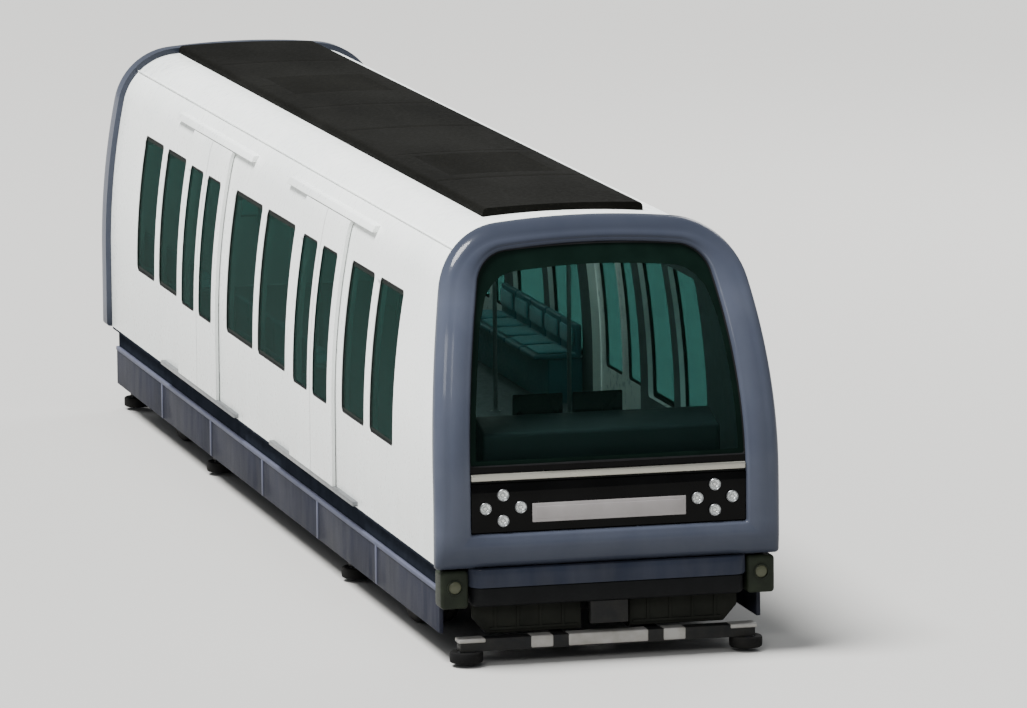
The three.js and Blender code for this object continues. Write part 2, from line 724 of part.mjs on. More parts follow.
// Couplers: a head and shank that hang from the end beams
function coupler(faceY, inward, seatY) {
  const low = 300;
  const high = 430;
  const rows = [
    // half width, first y, last y, z0, z1
    [150, faceY, faceY + inward * 60, low - 5, high + 40],
    [90, faceY + inward * 40, faceY + inward * 200, low, high + 20],
    [50, faceY + inward * 150, seatY, low + 20, high - 10],
    [110, seatY - inward * 160, seatY, low + 20, END_BEAM_Z - SEAT_GAP],
  ];
  return join(...rows.map(([half, a, b, z0, z1]) => box(-half, half, Math.min(a, b), Math.max(a, b), z0, z1)));
}

add(car, 'coupler_front', coupler(FRONT_Y + 60, 1, FRAME_FRONT_Y + 400), 'undergear');
add(car, 'coupler_rear', coupler(COUPLER_REAR_Y, -1, FRAME_REAR_Y - 400), 'undergear');

// Wheels: profiles are (radius, distance along the axle), turned about X
function turned(profile, sides) {
  const points = profile.map(([radius, along]) => new THREE.Vector2(radius, along));
  const wheel = new THREE.LatheGeometry(points, sides);
  return wheel.rotateY(Math.PI / sides);
}

// A flat of the polygon touches the ground, so its corners lie outside the round tyre's radius
const CORNER = 1 / Math.cos(Math.PI / TYRE_SIDES);

function tyre() {
  const half = TYRE_WIDTH / 2;
  const out = TYRE_RADIUS * CORNER;
  const seat = RIM_RADIUS + SEAT_GAP;
  const profile = [
    [seat, -half + 25], [out - 110, -half], [out - 45, -half + 4], [out, -half + 45],
    [out, half - 45], [out - 45, half - 4], [out - 110, half], [seat, half - 25], [seat, -half + 25],
  ];
  return turned(profile, TYRE_SIDES).rotateZ(-Math.PI / 2);
}

function rim() {
  const half = TYRE_WIDTH / 2 - 30;
  const seat = RIM_RADIUS;
  const profile = [
    [0, -half - 10], [95, -half - 10], [95, -half + 40], [seat - 30, -half + 60], [seat - 30, -half],
    [seat, -half], [seat, half], [seat - 30, half], [seat - 45, half - 70], [130, half - 50],
    [110, half], [0, half],
  ];
  return turned(profile, TYRE_SIDES).rotateZ(-Math.PI / 2);
}

function guideWheel() {
  const corner = 1 / Math.cos(Math.PI / GUIDE_SIDES);
  const out = GUIDE_RADIUS * corner;
  const height = GUIDE_TOP_Z - SEAT_GAP - GUIDE_LOW_Z;
  const profile = [[0, 0], [out - 25, 0], [out, 20], [out, height - 20], [out - 25, height], [0, height]];
  return turned(profile, GUIDE_SIDES).rotateX(Math.PI / 2);
}

// Bogie: axle beam, turning pivot, two long arms and a guide bar across each end
const HUB_END_X = WHEEL_X - TYRE_WIDTH / 2 + 20 - SEAT_GAP;

function bogie() {
  const blocks = [
    // x0, x1, y0, y1, z0, z1
    [-640, 640, -110, 110, 390, 560],
    [-430, -330, -GUIDE_REACH, GUIDE_REACH, GUIDE_TOP_Z, BAR_HIGH_Z],
    [330, 430, -GUIDE_REACH, GUIDE_REACH, GUIDE_TOP_Z, BAR_HIGH_Z],
    [-430, -330, -110, 110, BAR_HIGH_Z - 10, 400],
    [330, 430, -110, 110, BAR_HIGH_Z - 10, 400],
    [-1180, 1180, -GUIDE_REACH - 60, -GUIDE_REACH + 60, GUIDE_TOP_Z, BAR_HIGH_Z],
    [-1180, 1180, GUIDE_REACH - 60, GUIDE_REACH + 60, GUIDE_TOP_Z, BAR_HIGH_Z],
  ].map((row) => box(...row));
  const hubs = bar('x', 90, [-HUB_END_X, 0, TYRE_RADIUS], 2 * HUB_END_X, 16);
  const gearCase = bar('x', 180, [-130, 0, TYRE_RADIUS], 260, 16);
  const pivot = bar('z', 260, [0, 0, 500], BOLSTER_Z - SEAT_GAP - 500, 20);
  return join(...blocks, hubs, gearCase, pivot);
}

for (const place of BOGIES) {
  const frame = new THREE.Group();
  frame.position.set(0, place.y, 0);
  car.add(frame);
  add(frame, `bogie_${place.name}`, bogie(), 'undergear');
  for (const { name, side } of SIDES) {
    const turn = side < 0 ? Math.PI : 0;
    const hub = [side * WHEEL_X, 0, TYRE_RADIUS];
    add(frame, `tyre_${place.name}_${name}`, tyre(), 'rubber', hub);
    add(frame, `rim_${place.name}_${name}`, rim().rotateZ(turn), 'steel', hub);
    for (const [end, along] of [['a', -1], ['b', 1]]) {
      const spindle = [side * GUIDE_X, along * GUIDE_REACH, GUIDE_LOW_Z];
      add(frame, `guide_wheel_${place.name}_${name}_${end}`, guideWheel(), 'rubber', spindle);
    }
  }
}

export default car;
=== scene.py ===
# %% [markdown]
# # A rubber-tyred light rail train car
# The car is packed as solids already. This lesson dresses it: each cell makes one piece of the real car as
# a surface worked out with numpy, gives it a finish, and lets it ride on the body that carries it.
# Everything is in metres: X goes across the car, +Y to its rear, and Z up from the running surface.

# %% Load the frame
import math

import bmesh
import bpy
import numpy as np
from mathutils import Matrix, Vector


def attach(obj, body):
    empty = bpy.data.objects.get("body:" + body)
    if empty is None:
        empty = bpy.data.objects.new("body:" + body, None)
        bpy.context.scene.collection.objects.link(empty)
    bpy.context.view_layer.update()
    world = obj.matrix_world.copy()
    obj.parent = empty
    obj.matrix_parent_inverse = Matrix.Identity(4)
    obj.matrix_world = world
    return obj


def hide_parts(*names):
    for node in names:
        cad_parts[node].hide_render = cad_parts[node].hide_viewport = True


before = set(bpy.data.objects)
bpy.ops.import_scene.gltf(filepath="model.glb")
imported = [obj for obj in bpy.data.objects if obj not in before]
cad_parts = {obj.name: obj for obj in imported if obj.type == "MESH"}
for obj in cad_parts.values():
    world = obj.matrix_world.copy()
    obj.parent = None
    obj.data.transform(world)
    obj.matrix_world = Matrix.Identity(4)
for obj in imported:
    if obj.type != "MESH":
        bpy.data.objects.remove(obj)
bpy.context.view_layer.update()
scene = bpy.context.scene

# %% [markdown]
# ## Where things are
# The car's driving sizes, the same as the solids have. The front stands upright to RAKE_Z and then leans
# back along an arc. Sizes could be read off each CAD node, but a few named values that all pieces share
# keep the parts of one car in step: a pane, its gasket and its hole move together.

# %% Driving sizes
FRONT_Y = -6.775
BODY_FRONT_Y = FRONT_Y + 0.142
BODY_REAR_Y = 6.225
HOOP_REAR_Y = 6.475
SHEET_REAR_Y = BODY_REAR_Y - 0.0003
MID_Y = -0.275
PATTERN_Y = MID_Y + 0.24
SIDE_LOW_Z = 0.77
SPRING_Z = 1.473
FLOOR_Z = 1.1
RAKE_Z = 1.2
RAKE_RADIUS = 4.0
SEAM_Z = 3.1477

SIDES = {"left": -1.0, "right": 1.0}
ENDS = {"front": -1.0, "rear": 1.0}
DOOR_Y = {"front": PATTERN_Y - 2.26, "rear": PATTERN_Y + 2.26}
AXLE_Y = {"front": MID_Y - 4.5, "rear": MID_Y + 4.5}
GUIDE_REACH = 1.85
PANES = {
    "front": ((-5.05, -4.25), (-4.06, -3.26)),
    "middle": ((-1.17, -0.095), (0.095, 1.17)),
    "rear": ((3.26, 4.06), (4.25, 5.05)),
}
PANE_LOW_Z, PANE_HIGH_Z, PANE_ROUND = 1.47, 2.71, 0.045
print("doors at", [round(y, 3) for y in DOOR_Y.values()], "axles at", list(AXLE_Y.values()))

# %% [markdown]
# ## The body's section as arrays
# Across the car, the body is an upright side, a long side arc, a round shoulder and a nearly flat crown. It
# could be drawn once as a curve object and read back. Here each circle is a centre and a radius, and the
# half width at a height is where the upright line or one of the circles is met: that works for whole arrays
# of heights at once, so every panel shares one formula and neighbours meet exactly.


# %% Section of the body
class Section:
    """Half of a rounded section: half width, side arc, shoulder arc and crown arc that touch each other."""

    def __init__(self, half, side_radius, turn_degrees, shoulder_radius, crown_degrees=84.3):
        self.half, self.side_radius, self.shoulder_radius = half, side_radius, shoulder_radius
        self.turn, self.crown_start = math.radians(turn_degrees), math.radians(crown_degrees)
        self.side_x = half - side_radius
        reach = side_radius - shoulder_radius
        self.shoulder_x = self.side_x + reach * math.cos(self.turn)
        self.shoulder_z = SPRING_Z + reach * math.sin(self.turn)
        drop = self.shoulder_x / math.cos(self.crown_start)
        self.crown_z = self.shoulder_z - drop * math.sin(self.crown_start)
        self.crown_radius = drop + shoulder_radius

    def x(self, z, offset=0.0):
        """Half width at height z: the upright line, then the side circle, then the shoulder circle."""
        z = np.asarray(z, float)
        side = self.side_x + np.sqrt(np.maximum((self.side_radius + offset) ** 2 - (z - SPRING_Z) ** 2, 0))
        reach = np.maximum((self.shoulder_radius + offset) ** 2 - (z - self.shoulder_z) ** 2, 0)
        shoulder = self.shoulder_x + np.sqrt(reach)
        side_top = SPRING_Z + (self.side_radius + offset) * math.sin(self.turn)
        return np.where(z <= SPRING_Z, self.half + offset, np.where(z <= side_top, side, shoulder))

    def half_outline(self, low, offset=0.0, corner=0.0, counts=(10, 12, 16, 14, 12)):
        """Points (x, z) from the middle of the low edge, out, up the side and over to the middle of the top."""
        flat, upright, side, shoulder, crown = counts
        half = float(self.x(low + corner, offset))
        side_start = math.asin(max(0.0, low + corner - SPRING_Z) / (self.side_radius + offset))
        turn = np.linspace(-np.pi / 2, 0, 7)
        rounded = np.stack([half - corner + corner * np.cos(turn), low + corner + corner * np.sin(turn)], 1)
        base = np.stack([np.linspace(0, half - corner, flat, endpoint=False), np.full(flat, low)], 1)
        leg_z = np.linspace(low + corner, max(SPRING_Z, low + corner), upright, endpoint=False)[1:]
        leg_z = leg_z[leg_z < SPRING_Z]
        leg = np.stack([np.full(len(leg_z), half), leg_z], 1)
        arcs = []
        for cx, cz, radius, a, b, n in (
            (self.side_x, SPRING_Z, self.side_radius, side_start, self.turn, side),
            (self.shoulder_x, self.shoulder_z, self.shoulder_radius, self.turn, self.crown_start, shoulder),
            (0.0, self.crown_z, self.crown_radius, self.crown_start, np.pi / 2, crown),
        ):
            angle, r = np.linspace(a, b, n, endpoint=b == np.pi / 2), radius + offset
            arcs.append(np.stack([cx + r * np.cos(angle), cz + r * np.sin(angle)], 1))
        return np.concatenate([base, rounded, leg, *arcs])


BODY = Section(1.325, 6.98, 11.59, 0.538)
OPENING = Section(1.10, 6.755, 12.6, 0.28)


def closed_loop(half):
    """A half outline and its mirror image joined into one ring of points."""
    return np.concatenate([half, (half[1:-1] * (-1, 1))[::-1]])


def lean(z):
    """How far the front lies back at height z: nothing up to RAKE_Z, then along a circle of RAKE_RADIUS."""
    rise = np.clip(np.asarray(z, float) - RAKE_Z, 0, RAKE_RADIUS * 0.9)
    return RAKE_RADIUS - np.sqrt(RAKE_RADIUS**2 - rise**2)


for name, section in (("crown", BODY), ("opening top", OPENING)):
    print(name, "at", round(section.crown_z + section.crown_radius, 3))

# %% [markdown]
# ## Shapes
# A shape here is a pair: an array of points and a list of faces. Blender's primitives and edit-mode tools
# could make most of them, but each would need selections and a context. A grid of two parameters says in
# one formula where each point lies, and one function joins neighbours into faces for all of them.


# %% Points and faces
def surface(x, y, z):
    """One array of points from three arrays or numbers that are stretched to the same shape."""
    return np.stack(np.broadcast_arrays(x, y, z), -1)


def grid_faces(rows, cols, wrap_rows=False, wrap_cols=False):
    """Quads between neighbouring points of a grid; a wrapped direction joins its last line to its first."""
    i, j = np.meshgrid(
        np.arange(rows if wrap_rows else rows - 1),
        np.arange(cols if wrap_cols else cols - 1),
        indexing="ij",
    )
    next_i, next_j = (i + 1) % rows, (j + 1) % cols
    quads = np.stack([i * cols + j, next_i * cols + j, next_i * cols + next_j, i * cols + next_j], -1)
    return quads.reshape(-1, 4).tolist()


def grid_shape(points, wrap_rows=False, wrap_cols=False, cap_rows=False):
    """A shape from a grid of points; cap_rows closes the first and the last row with one face each."""
    rows, cols = points.shape[:2]
    faces = grid_faces(rows, cols, wrap_rows, wrap_cols)
    if cap_rows:
        faces.append(list(range(cols)))
        faces.append(list(range((rows - 1) * cols, rows * cols)))
    return points.reshape(-1, 3), faces


def joined(*shapes):
    """Several shapes as one: points are stacked and each face's numbers are moved along."""
    points, faces, start = [], [], 0
    for part_points, part_faces in shapes:
        points.append(part_points)
        faces.extend([[start + i for i in face] for face in part_faces])
        start += len(part_points)
    return np.concatenate(points), faces


def moved(shape, offset):
    """The shape with the same step added to every point."""
    return shape[0] + np.asarray(offset, float), shape[1]


def copies(shape, offsets):
    """The shape repeated at each offset."""
    return joined(*[moved(shape, offset) for offset in offsets])


def mirrored(shape, side):
    """The shape on the other side of the car where side is -1."""
    return shape[0] * (side, 1, 1), shape[1]


print("a grid of 3 by 4 points has", len(grid_faces(3, 4)), "faces")


# %% Blocks and turned sections
def block(low, high, radius, steps=3):
    """A box with round edges: half sizes less the radius, pushed out along every direction of a sphere.

    Each eighth of the sphere keeps its own corner of the inner box, so flat faces open between the eighths."""
    low, high = np.asarray(low, float), np.asarray(high, float)
    centre, inner = (low + high) / 2, (high - low) / 2 - radius
    quarter = np.linspace(0, np.pi / 2, steps + 1)
    round_angle = np.concatenate([quarter + k * np.pi / 2 for k in range(4)])
    sign_x = np.repeat([1, -1, -1, 1], steps + 1)
    sign_y = np.repeat([1, 1, -1, -1], steps + 1)
    up_angle = np.concatenate([quarter - np.pi / 2, quarter])
    sign_z = np.repeat([-1, 1], steps + 1)
    x = inner[0] * sign_x + radius * np.cos(up_angle)[:, None] * np.cos(round_angle)
    y = inner[1] * sign_y + radius * np.cos(up_angle)[:, None] * np.sin(round_angle)
    z = (inner[2] * sign_z + radius * np.sin(up_angle))[:, None] + 0 * x
    return grid_shape(centre + np.stack([x, y, z], -1), wrap_cols=True, cap_rows=True)


def turned(profile, centre, axis, steps=32):
    """A profile of (radius, distance along the axis) turned about an axis through the centre."""
    profile = np.asarray(profile, float)
    angle = np.linspace(0, 2 * np.pi, steps, endpoint=False)
    radius, along = profile[:, 0][:, None], profile[:, 1][:, None]
    across, up, out = radius * np.cos(angle), radius * np.sin(angle), along + 0 * angle
    order = {"x": (out, across, up), "y": (across, out, up), "z": (across, up, out)}[axis]
    return grid_shape(np.asarray(centre, float) + np.stack(order, -1), wrap_cols=True, cap_rows=True)


def ring(profile, centre, axis, steps=32):
    """A closed profile turned about an axis, with no caps: a tyre, a bezel or a seal."""
    points, _ = turned(profile, centre, axis, steps)
    return points, grid_faces(len(profile), steps, True, True)


print("a block has", len(block((0, 0, 0), (1, 1, 1), 0.1)[1]), "faces")


# %% Bars and outlines
def tube(path, radius, sides=12):
    """A round bar along a path: a circle of radius carried in the plane across the path at each point."""
    path = np.asarray(path, float)
    ahead = np.gradient(path, axis=0)
    ahead /= np.linalg.norm(ahead, axis=1)[:, None]
    helper = np.where(np.abs(ahead[:, 2:]) > 0.9, [[1.0, 0.0, 0.0]], [[0.0, 0.0, 1.0]])
    across = np.cross(ahead, helper)
    across /= np.linalg.norm(across, axis=1)[:, None]
    up = np.cross(across, ahead)
    angle = np.linspace(0, 2 * np.pi, sides, endpoint=False)
    circle = across[:, None] * np.cos(angle)[:, None] + up[:, None] * np.sin(angle)[:, None]
    return grid_shape(path[:, None] + radius * circle, wrap_cols=True, cap_rows=True)


def along_y(outline, y0, y1):
    """A closed outline of (x, z) carried from y0 to y1."""
    ends = np.array([[y0], [y1]])
    return grid_shape(surface(outline[:, 0], ends, outline[:, 1]), wrap_cols=True, cap_rows=True)


def rounded_rectangle(u0, u1, v0, v1, radius, steps=8):
    """Points round a rectangle with round corners, starting at the middle of the right side."""
    angle = np.linspace(0, np.pi / 2, steps + 1)
    corners = []
    for k, (cu, cv) in enumerate(((u1, v1), (u0, v1), (u0, v0), (u1, v0))):
        turn = angle + k * np.pi / 2
        cu += radius * (1 if k in (1, 2) else -1)
        cv += radius * (1 if k in (2, 3) else -1)
        corners.append(np.stack([cu + radius * np.cos(turn), cv + radius * np.sin(turn)], 1))
    return np.concatenate(corners)


print("a rounded rectangle has", len(rounded_rectangle(0, 1, 0, 1, 0.1)), "points")

# %% [markdown]
# ## From shape to finished piece
# Real panels have no knife edges, so a piece gets its wall and its rounded edges from modifiers. They are
# baked here, doubles are welded and faces turned outwards, and the piece rides on a body. Operators could
# do the same, but bmesh needs no active object, so no step depends on what happens to be selected.


# %% Meshes and modifiers
def make(name, shape, facing=None):
    """A welded mesh object from a shape; with facing, its faces look along that direction on average."""
    mesh = bpy.data.meshes.new(name)
    mesh.from_pydata(shape[0].tolist(), [], shape[1])
    work = bmesh.new()
    work.from_mesh(mesh)
    bmesh.ops.remove_doubles(work, verts=work.verts, dist=2e-5)
    bmesh.ops.recalc_face_normals(work, faces=work.faces)
    if facing is not None:
        mean = sum((face.normal * face.calc_area() for face in work.faces), Vector())
        if mean.dot(Vector(facing)) < 0:
            bmesh.ops.reverse_faces(work, faces=work.faces)
    work.to_mesh(mesh)
    work.free()
    piece = bpy.data.objects.new(name, mesh)
    scene.collection.objects.link(piece)
    return piece


def thickened(piece, thickness):
    """Gives an open sheet a wall behind its face; a second finish, if any, goes on the inner face."""
    wall = piece.modifiers.new("wall", "SOLIDIFY")
    wall.thickness, wall.offset, wall.use_even_offset = thickness, -1, True
    wall.material_offset = 1
    return piece


def bevelled(piece, width, segments=2):
    """Rounds every edge sharper than 35 degrees."""
    edge = piece.modifiers.new("edge", "BEVEL")
    edge.width, edge.segments, edge.limit_method, edge.angle_limit = width, segments, "ANGLE", math.radians(35)
    return piece


def settled(piece, sharp=32):
    """Bakes the modifiers, welds doubles, turns faces outwards and keeps edges over this many degrees sharp."""
    graph = bpy.context.evaluated_depsgraph_get()
    baked = bpy.data.meshes.new_from_object(piece.evaluated_get(graph))
    work = bmesh.new()
    work.from_mesh(baked)
    bmesh.ops.remove_doubles(work, verts=work.verts, dist=2e-5)
    bmesh.ops.dissolve_degenerate(work, edges=work.edges, dist=1e-6)
    loose = [v for v in work.verts if not v.link_faces]
    bmesh.ops.delete(work, geom=loose, context="VERTS")
    bmesh.ops.recalc_face_normals(work, faces=work.faces)
    work.to_mesh(baked)
    work.free()
    piece.modifiers.clear()
    piece.data = baked
    baked.shade_smooth()
    baked.set_sharp_from_angle(angle=math.radians(sharp))
    return piece


def finished(piece, body, finish, replaces=(), sharp=32):
    """Paints a piece, settles it, and lets it ride on its body in place of the CAD nodes it stands for."""
    piece.data.materials.clear()
    for coat in finish if isinstance(finish, tuple) else (finish,):
        piece.data.materials.append(coat)
    settled(piece, sharp)
    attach(piece, body)
    if replaces:
        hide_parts(*replaces)
    return piece


def added(name, shape, body, finish, replaces=(), sharp=32):
    """A finished piece straight from its shape."""
    return finished(make(name, shape), body, finish, replaces, sharp)


def painted(node, finish):
    """Gives a CAD node that still shows its finish; its shape stays as it is."""
    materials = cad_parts[node].data.materials
    materials.clear()
    materials.append(finish)


def softened(node, name, width, body, finish, segments=2):
    """A welded copy of a CAD node with its edges rounded, shown in the node's place."""
    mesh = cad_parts[node].data.copy()
    mesh.materials.clear()
    work = bmesh.new()
    work.from_mesh(mesh)
    bmesh.ops.remove_doubles(work, verts=work.verts, dist=2e-5)
    flat = math.radians(1.0)
    bmesh.ops.dissolve_limit(work, angle_limit=flat, verts=work.verts, edges=work.edges)
    work.to_mesh(mesh)
    work.free()
    piece = bpy.data.objects.new(name, mesh)
    scene.collection.objects.link(piece)
    return finished(bevelled(piece, width, segments), body, finish, [node])


print("CAD nodes", len(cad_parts))

# %% [markdown]
# ## Camera
# The photograph was taken from ahead, to the left and above. The camera stands at that place. Its lens is
# longer, so that the car fills the frame, and it is turned towards the car instead of being shifted. A
# Track To constraint could aim it. Three plain turns do the same and leave room for the slight roll that
# the photograph has.


# %% Camera
def aimed_camera(place, target, lens, roll_degrees):
    """A camera that looks along target - place: turned by yaw, tipped by pitch, then rolled about its view."""
    data = bpy.data.cameras.new("camera")
    data.lens, data.sensor_width = lens, 36.0
    data.clip_start, data.clip_end = 1.0, 500.0
    camera = bpy.data.objects.new("camera", data)
    scene.collection.objects.link(camera)
    ahead = np.subtract(target, place)
    yaw = math.atan2(-ahead[0], ahead[1])
    pitch = math.atan2(ahead[2], math.hypot(ahead[0], ahead[1]))
    turn = Matrix.Rotation(yaw, 4, "Z") @ Matrix.Rotation(math.pi / 2 + pitch, 4, "X")
    camera.matrix_world = Matrix.Translation(place) @ turn @ Matrix.Rotation(math.radians(roll_degrees), 4, "Z")
    scene.camera = camera
    return camera


CAMERA_PLACE = (-14.68, -61.555, 11.36)
CAMERA_TARGET = (0.08, -3.45, 1.90)
camera = aimed_camera(CAMERA_PLACE, CAMERA_TARGET, 262.0, -0.45)
print("camera at", [round(v, 2) for v in camera.location])

# %% [markdown]
# ## Finishes
# Each finish is one shader whose colour, roughness and fine relief vary a little over the surface, because
# a single flat colour never looks like paint, rubber or steel. Image textures could do it, but they need
# unwrapped faces. Noise over Object coordinates needs none, and it runs on without a seam from one piece to
# the next.


# %% Colour and shader helpers
def tone(code):
    """Linear colour from an sRGB code of six digits."""
    channel = np.array([int(code[i : i + 2], 16) for i in (0, 2, 4)]) / 255
    linear = np.where(channel <= 0.04045, channel / 12.92, ((channel + 0.055) / 1.055) ** 2.4)
    return (*linear.tolist(), 1.0)


class Finish:
    """A material under construction: its node tree, its shader and the Object coordinates."""

    def __init__(self, name, colour, roughness, metallic=0.0, **sockets):
        self.material = bpy.data.materials.new(name)
        self.material.use_nodes = True
        self.tree = self.material.node_tree
        self.shader = self.tree.nodes["Principled BSDF"]
        self.place = self.tree.nodes.new("ShaderNodeTexCoord").outputs["Object"]
        self.shader.inputs["Base Color"].default_value = tone(colour)
        self.shader.inputs["Roughness"].default_value = roughness
        self.shader.inputs["Metallic"].default_value = metallic
        for socket, value in sockets.items():
            self.shader.inputs[socket.replace("_", " ").title().replace("Ior", "IOR")].default_value = value
        self.colour, self.roughness = colour, roughness

    def add(self, kind, **values):
        """A new node with its properties set."""
        node = self.tree.nodes.new(kind)
        for key, value in values.items():
            setattr(node, key, value)
        return node

    def link(self, source, target):
        """A wire from a socket to a socket."""
        self.tree.links.new(source, target)

    def noise(self, scale, detail=4.0, stretch=(1, 1, 1), offset=(0, 0, 0)):
        """Grey noise over the surface; stretch makes it longer along an axis."""
        mapping = self.add("ShaderNodeMapping")
        mapping.inputs["Scale"].default_value = [1 / s for s in stretch]
        mapping.inputs["Location"].default_value = offset
        texture = self.add("ShaderNodeTexNoise")
        texture.inputs["Scale"].default_value = scale
        texture.inputs["Detail"].default_value = detail
        self.link(self.place, mapping.inputs["Vector"])
        self.link(mapping.outputs["Vector"], texture.inputs["Vector"])
        return texture.outputs["Fac"]

    def ranged(self, value, low, high, to_low, to_high):
        """Carries the range low..high of a value over to another range."""
        node = self.add("ShaderNodeMapRange")
        for socket, number in zip(("From Min", "From Max", "To Min", "To Max"), (low, high, to_low, to_high)):
            node.inputs[socket].default_value = number
        self.link(value, node.inputs["Value"])
        return node.outputs["Result"]

    def math(self, operation, a, b=0.0):
        """A Math node on two values; each is a number or a socket."""
        node = self.add("ShaderNodeMath", operation=operation)
        for socket, value in zip(node.inputs, (a, b)):
            if isinstance(value, (int, float)):
                socket.default_value = value
            else:
                self.link(value, socket)
        return node.outputs["Value"]

    def axis(self, name):
        """One of the Object coordinates X, Y and Z."""
        split = self.add("ShaderNodeSeparateXYZ")
        self.link(self.place, split.inputs["Vector"])
        return split.outputs[name]

    def mixed(self, share, base, other):
        """Base and other colours mixed by a share; each is a code or a socket."""
        node = self.add("ShaderNodeMix", data_type="RGBA")
        self.link(share, node.inputs["Factor"])
        for socket, value in ((node.inputs[6], base), (node.inputs[7], other)):
            if isinstance(value, str):
                socket.default_value = tone(value)
            else:
                self.link(value, socket)
        return node.outputs[2]

    def set_colour(self, socket):
        """Wires the colour."""
        self.link(socket, self.shader.inputs["Base Color"])

    def set_roughness(self, socket):
        """Wires the roughness."""
        self.link(socket, self.shader.inputs["Roughness"])

    def relief(self, height, depth, strength=1.0):
        """Small bumps: the height moves the normal as if the surface rose by this depth."""
        bump = self.add("ShaderNodeBump")
        bump.inputs["Distance"].default_value = depth
        bump.inputs["Strength"].default_value = strength
        self.link(height, bump.inputs["Height"])
        self.link(bump.outputs["Normal"], self.shader.inputs["Normal"])

    def varied(self, other, scale, spread, stretch=(1, 1, 1)):
        """Soft clouds of a second colour, and roughness that varies by the spread on a finer scale."""
        cloud = self.noise(scale, 5.0, stretch)
        self.set_colour(self.mixed(self.ranged(cloud, 0.35, 0.7, 0.0, 0.9), self.colour, other))
        fine = self.noise(scale * 9, 3.0, stretch, (3.1, 7.7, 1.9))
        self.set_roughness(self.ranged(fine, 0.3, 0.7, self.roughness - spread, self.roughness + spread))


print("mid grey is", [round(value, 3) for value in tone("808080")])

# %% [markdown]
# ## Paints
# The car wears gloss white above, slate blue on hoops and skirts, and a gritty coating on its roof fairing.
# Dirt could be painted on by hand. Real dirt follows height, though: film near the ground, so the height
# itself drives the mix, and stretched noise breaks it into streaks. Height also drives painted shade: the white
# greys down its lower wall, and the hoops' slate darkens near the roof and at a hoop's foot.


# %% Paints
def body_white():
    """Gloss white with a slight waviness, painted shade that greys the lower wall, and a little dirt film at
    its foot.
    """
    gloss = {"specular_ior_level": 0.35, "coat_weight": 0.12, "coat_roughness": 0.1}
    paint = Finish("gloss_white_paint", "F2F2EF", 0.30, **gloss)
    height = paint.axis("Z")
    streaks = paint.noise(5.0, 6.0, (1, 1, 6))
    near_foot = paint.ranged(height, 0.75, 1.35, 0.75, 0.04)
    film = paint.math("MULTIPLY", near_foot, paint.ranged(streaks, 0.3, 0.75, 0.1, 1.0))
    cloud = paint.noise(1.3, 4.0)
    fresh = paint.mixed(paint.ranged(cloud, 0.35, 0.65, 0.0, 0.6), "F1F4F1", "E7ECE9")
    # painted shade: the white turns greyer from z 2.0 down to 0.95, for the lesser light on the lower wall
    painted_low_shade = paint.mixed(paint.ranged(height, 0.95, 2.0, 0.34, 0.0), fresh, "AFB5B2")
    paint.set_colour(paint.mixed(paint.math("MULTIPLY", film, 0.4), painted_low_shade, "B9B6AC"))
    paint.set_roughness(paint.ranged(paint.noise(14.0), 0.3, 0.7, 0.24, 0.38))
    paint.relief(paint.noise(1.1, 2.0), 0.004, 0.12)
    return paint.material


def slate_paint(name, colour, other, roughness, film, gloss=0.3, painted_foot_shade=0.0):
    """Slate-blue paint with fine flake, dust near the ground, and painted shade near the roof and at a hoop's
    foot.
    """
    paint = Finish(name, colour, roughness, specular_ior_level=0.02, coat_weight=gloss, coat_roughness=0.12)
    cloud = paint.ranged(paint.noise(2.2, 5.0), 0.35, 0.68, 0.0, 0.8)
    base = paint.mixed(cloud, colour, other)
    height = paint.axis("Z")
    streaks = paint.ranged(paint.noise(7.0, 6.0, (1, 1, 4)), 0.35, 0.7, 0.1, 1.0)
    dust = paint.math("MULTIPLY", paint.ranged(height, 0.15, 1.1, film, 0.03), streaks)
    # painted shade: the slate goes dark near the roof and, by the share given for a hoop, at its foot
    painted_top_shade = paint.ranged(height, 2.8, 3.3, 0.0, 0.75)
    dark = paint.math("MAXIMUM", painted_top_shade, paint.ranged(height, 0.78, 1.05, painted_foot_shade, 0.0))
    paint.set_colour(paint.mixed(dark, paint.mixed(dust, base, "8E8C86"), "1B1F28"))
    paint.set_roughness(paint.ranged(paint.noise(160.0, 2.0), 0.3, 0.7, roughness - 0.05, roughness + 0.07))
    paint.relief(paint.noise(420.0, 1.0), 0.0006, 0.12)
    return paint.material


def roof_coating():
    """Matte brown-grey coating with grit, paler where dust has settled."""
    coat = Finish("roof_coating", "1A1815", 0.82, specular_ior_level=0.02)
    cloud = coat.ranged(coat.noise(1.4, 6.0, (1, 3, 1)), 0.35, 0.7, 0.0, 1.0)
    base = coat.mixed(cloud, "0B0B09", "131311")
    specks = coat.ranged(coat.noise(90.0, 2.0), 0.62, 0.7, 0.0, 0.5)
    coat.set_colour(coat.mixed(specks, base, "2A2823"))
    coat.set_roughness(coat.ranged(coat.noise(30.0), 0.3, 0.7, 0.72, 0.92))
    coat.relief(coat.noise(260.0, 2.0), 0.0012, 0.5)
    return coat.material


WHITE = body_white()
# the hoop's slate carries painted shade near the roof and, by 0.6, at its foot
SLATE = slate_paint("hoop_slate_paint", "444956", "3D424F", 0.34, 0.02, 0.22, 0.6)
SKIRT_SLATE = slate_paint("skirt_slate_paint", "1A1D2B", "151823", 0.6, 0.07, 0.06)
LEDGE_SLATE = slate_paint("ledge_slate_paint", "4C4F5E", "444756", 0.55, 0.08, 0.06)
ROOF = roof_coating()
BUMPER_SLATE = slate_paint("bumper_slate_paint", "242936", "1E222D", 0.48, 0.06, 0.12)
print("paints ready")


# %% [markdown]
# ## Glass, lamps and plastics
# Side panes and windscreen are green tinted sheets, and lamp lenses are clear or smoked plastic. A
# refracting glass shader is the physical way, but it is slow and noisy behind several sheets. A share of a
# gloss face over tinted transparency gives thin glass its look and keeps the saloon visible behind it.


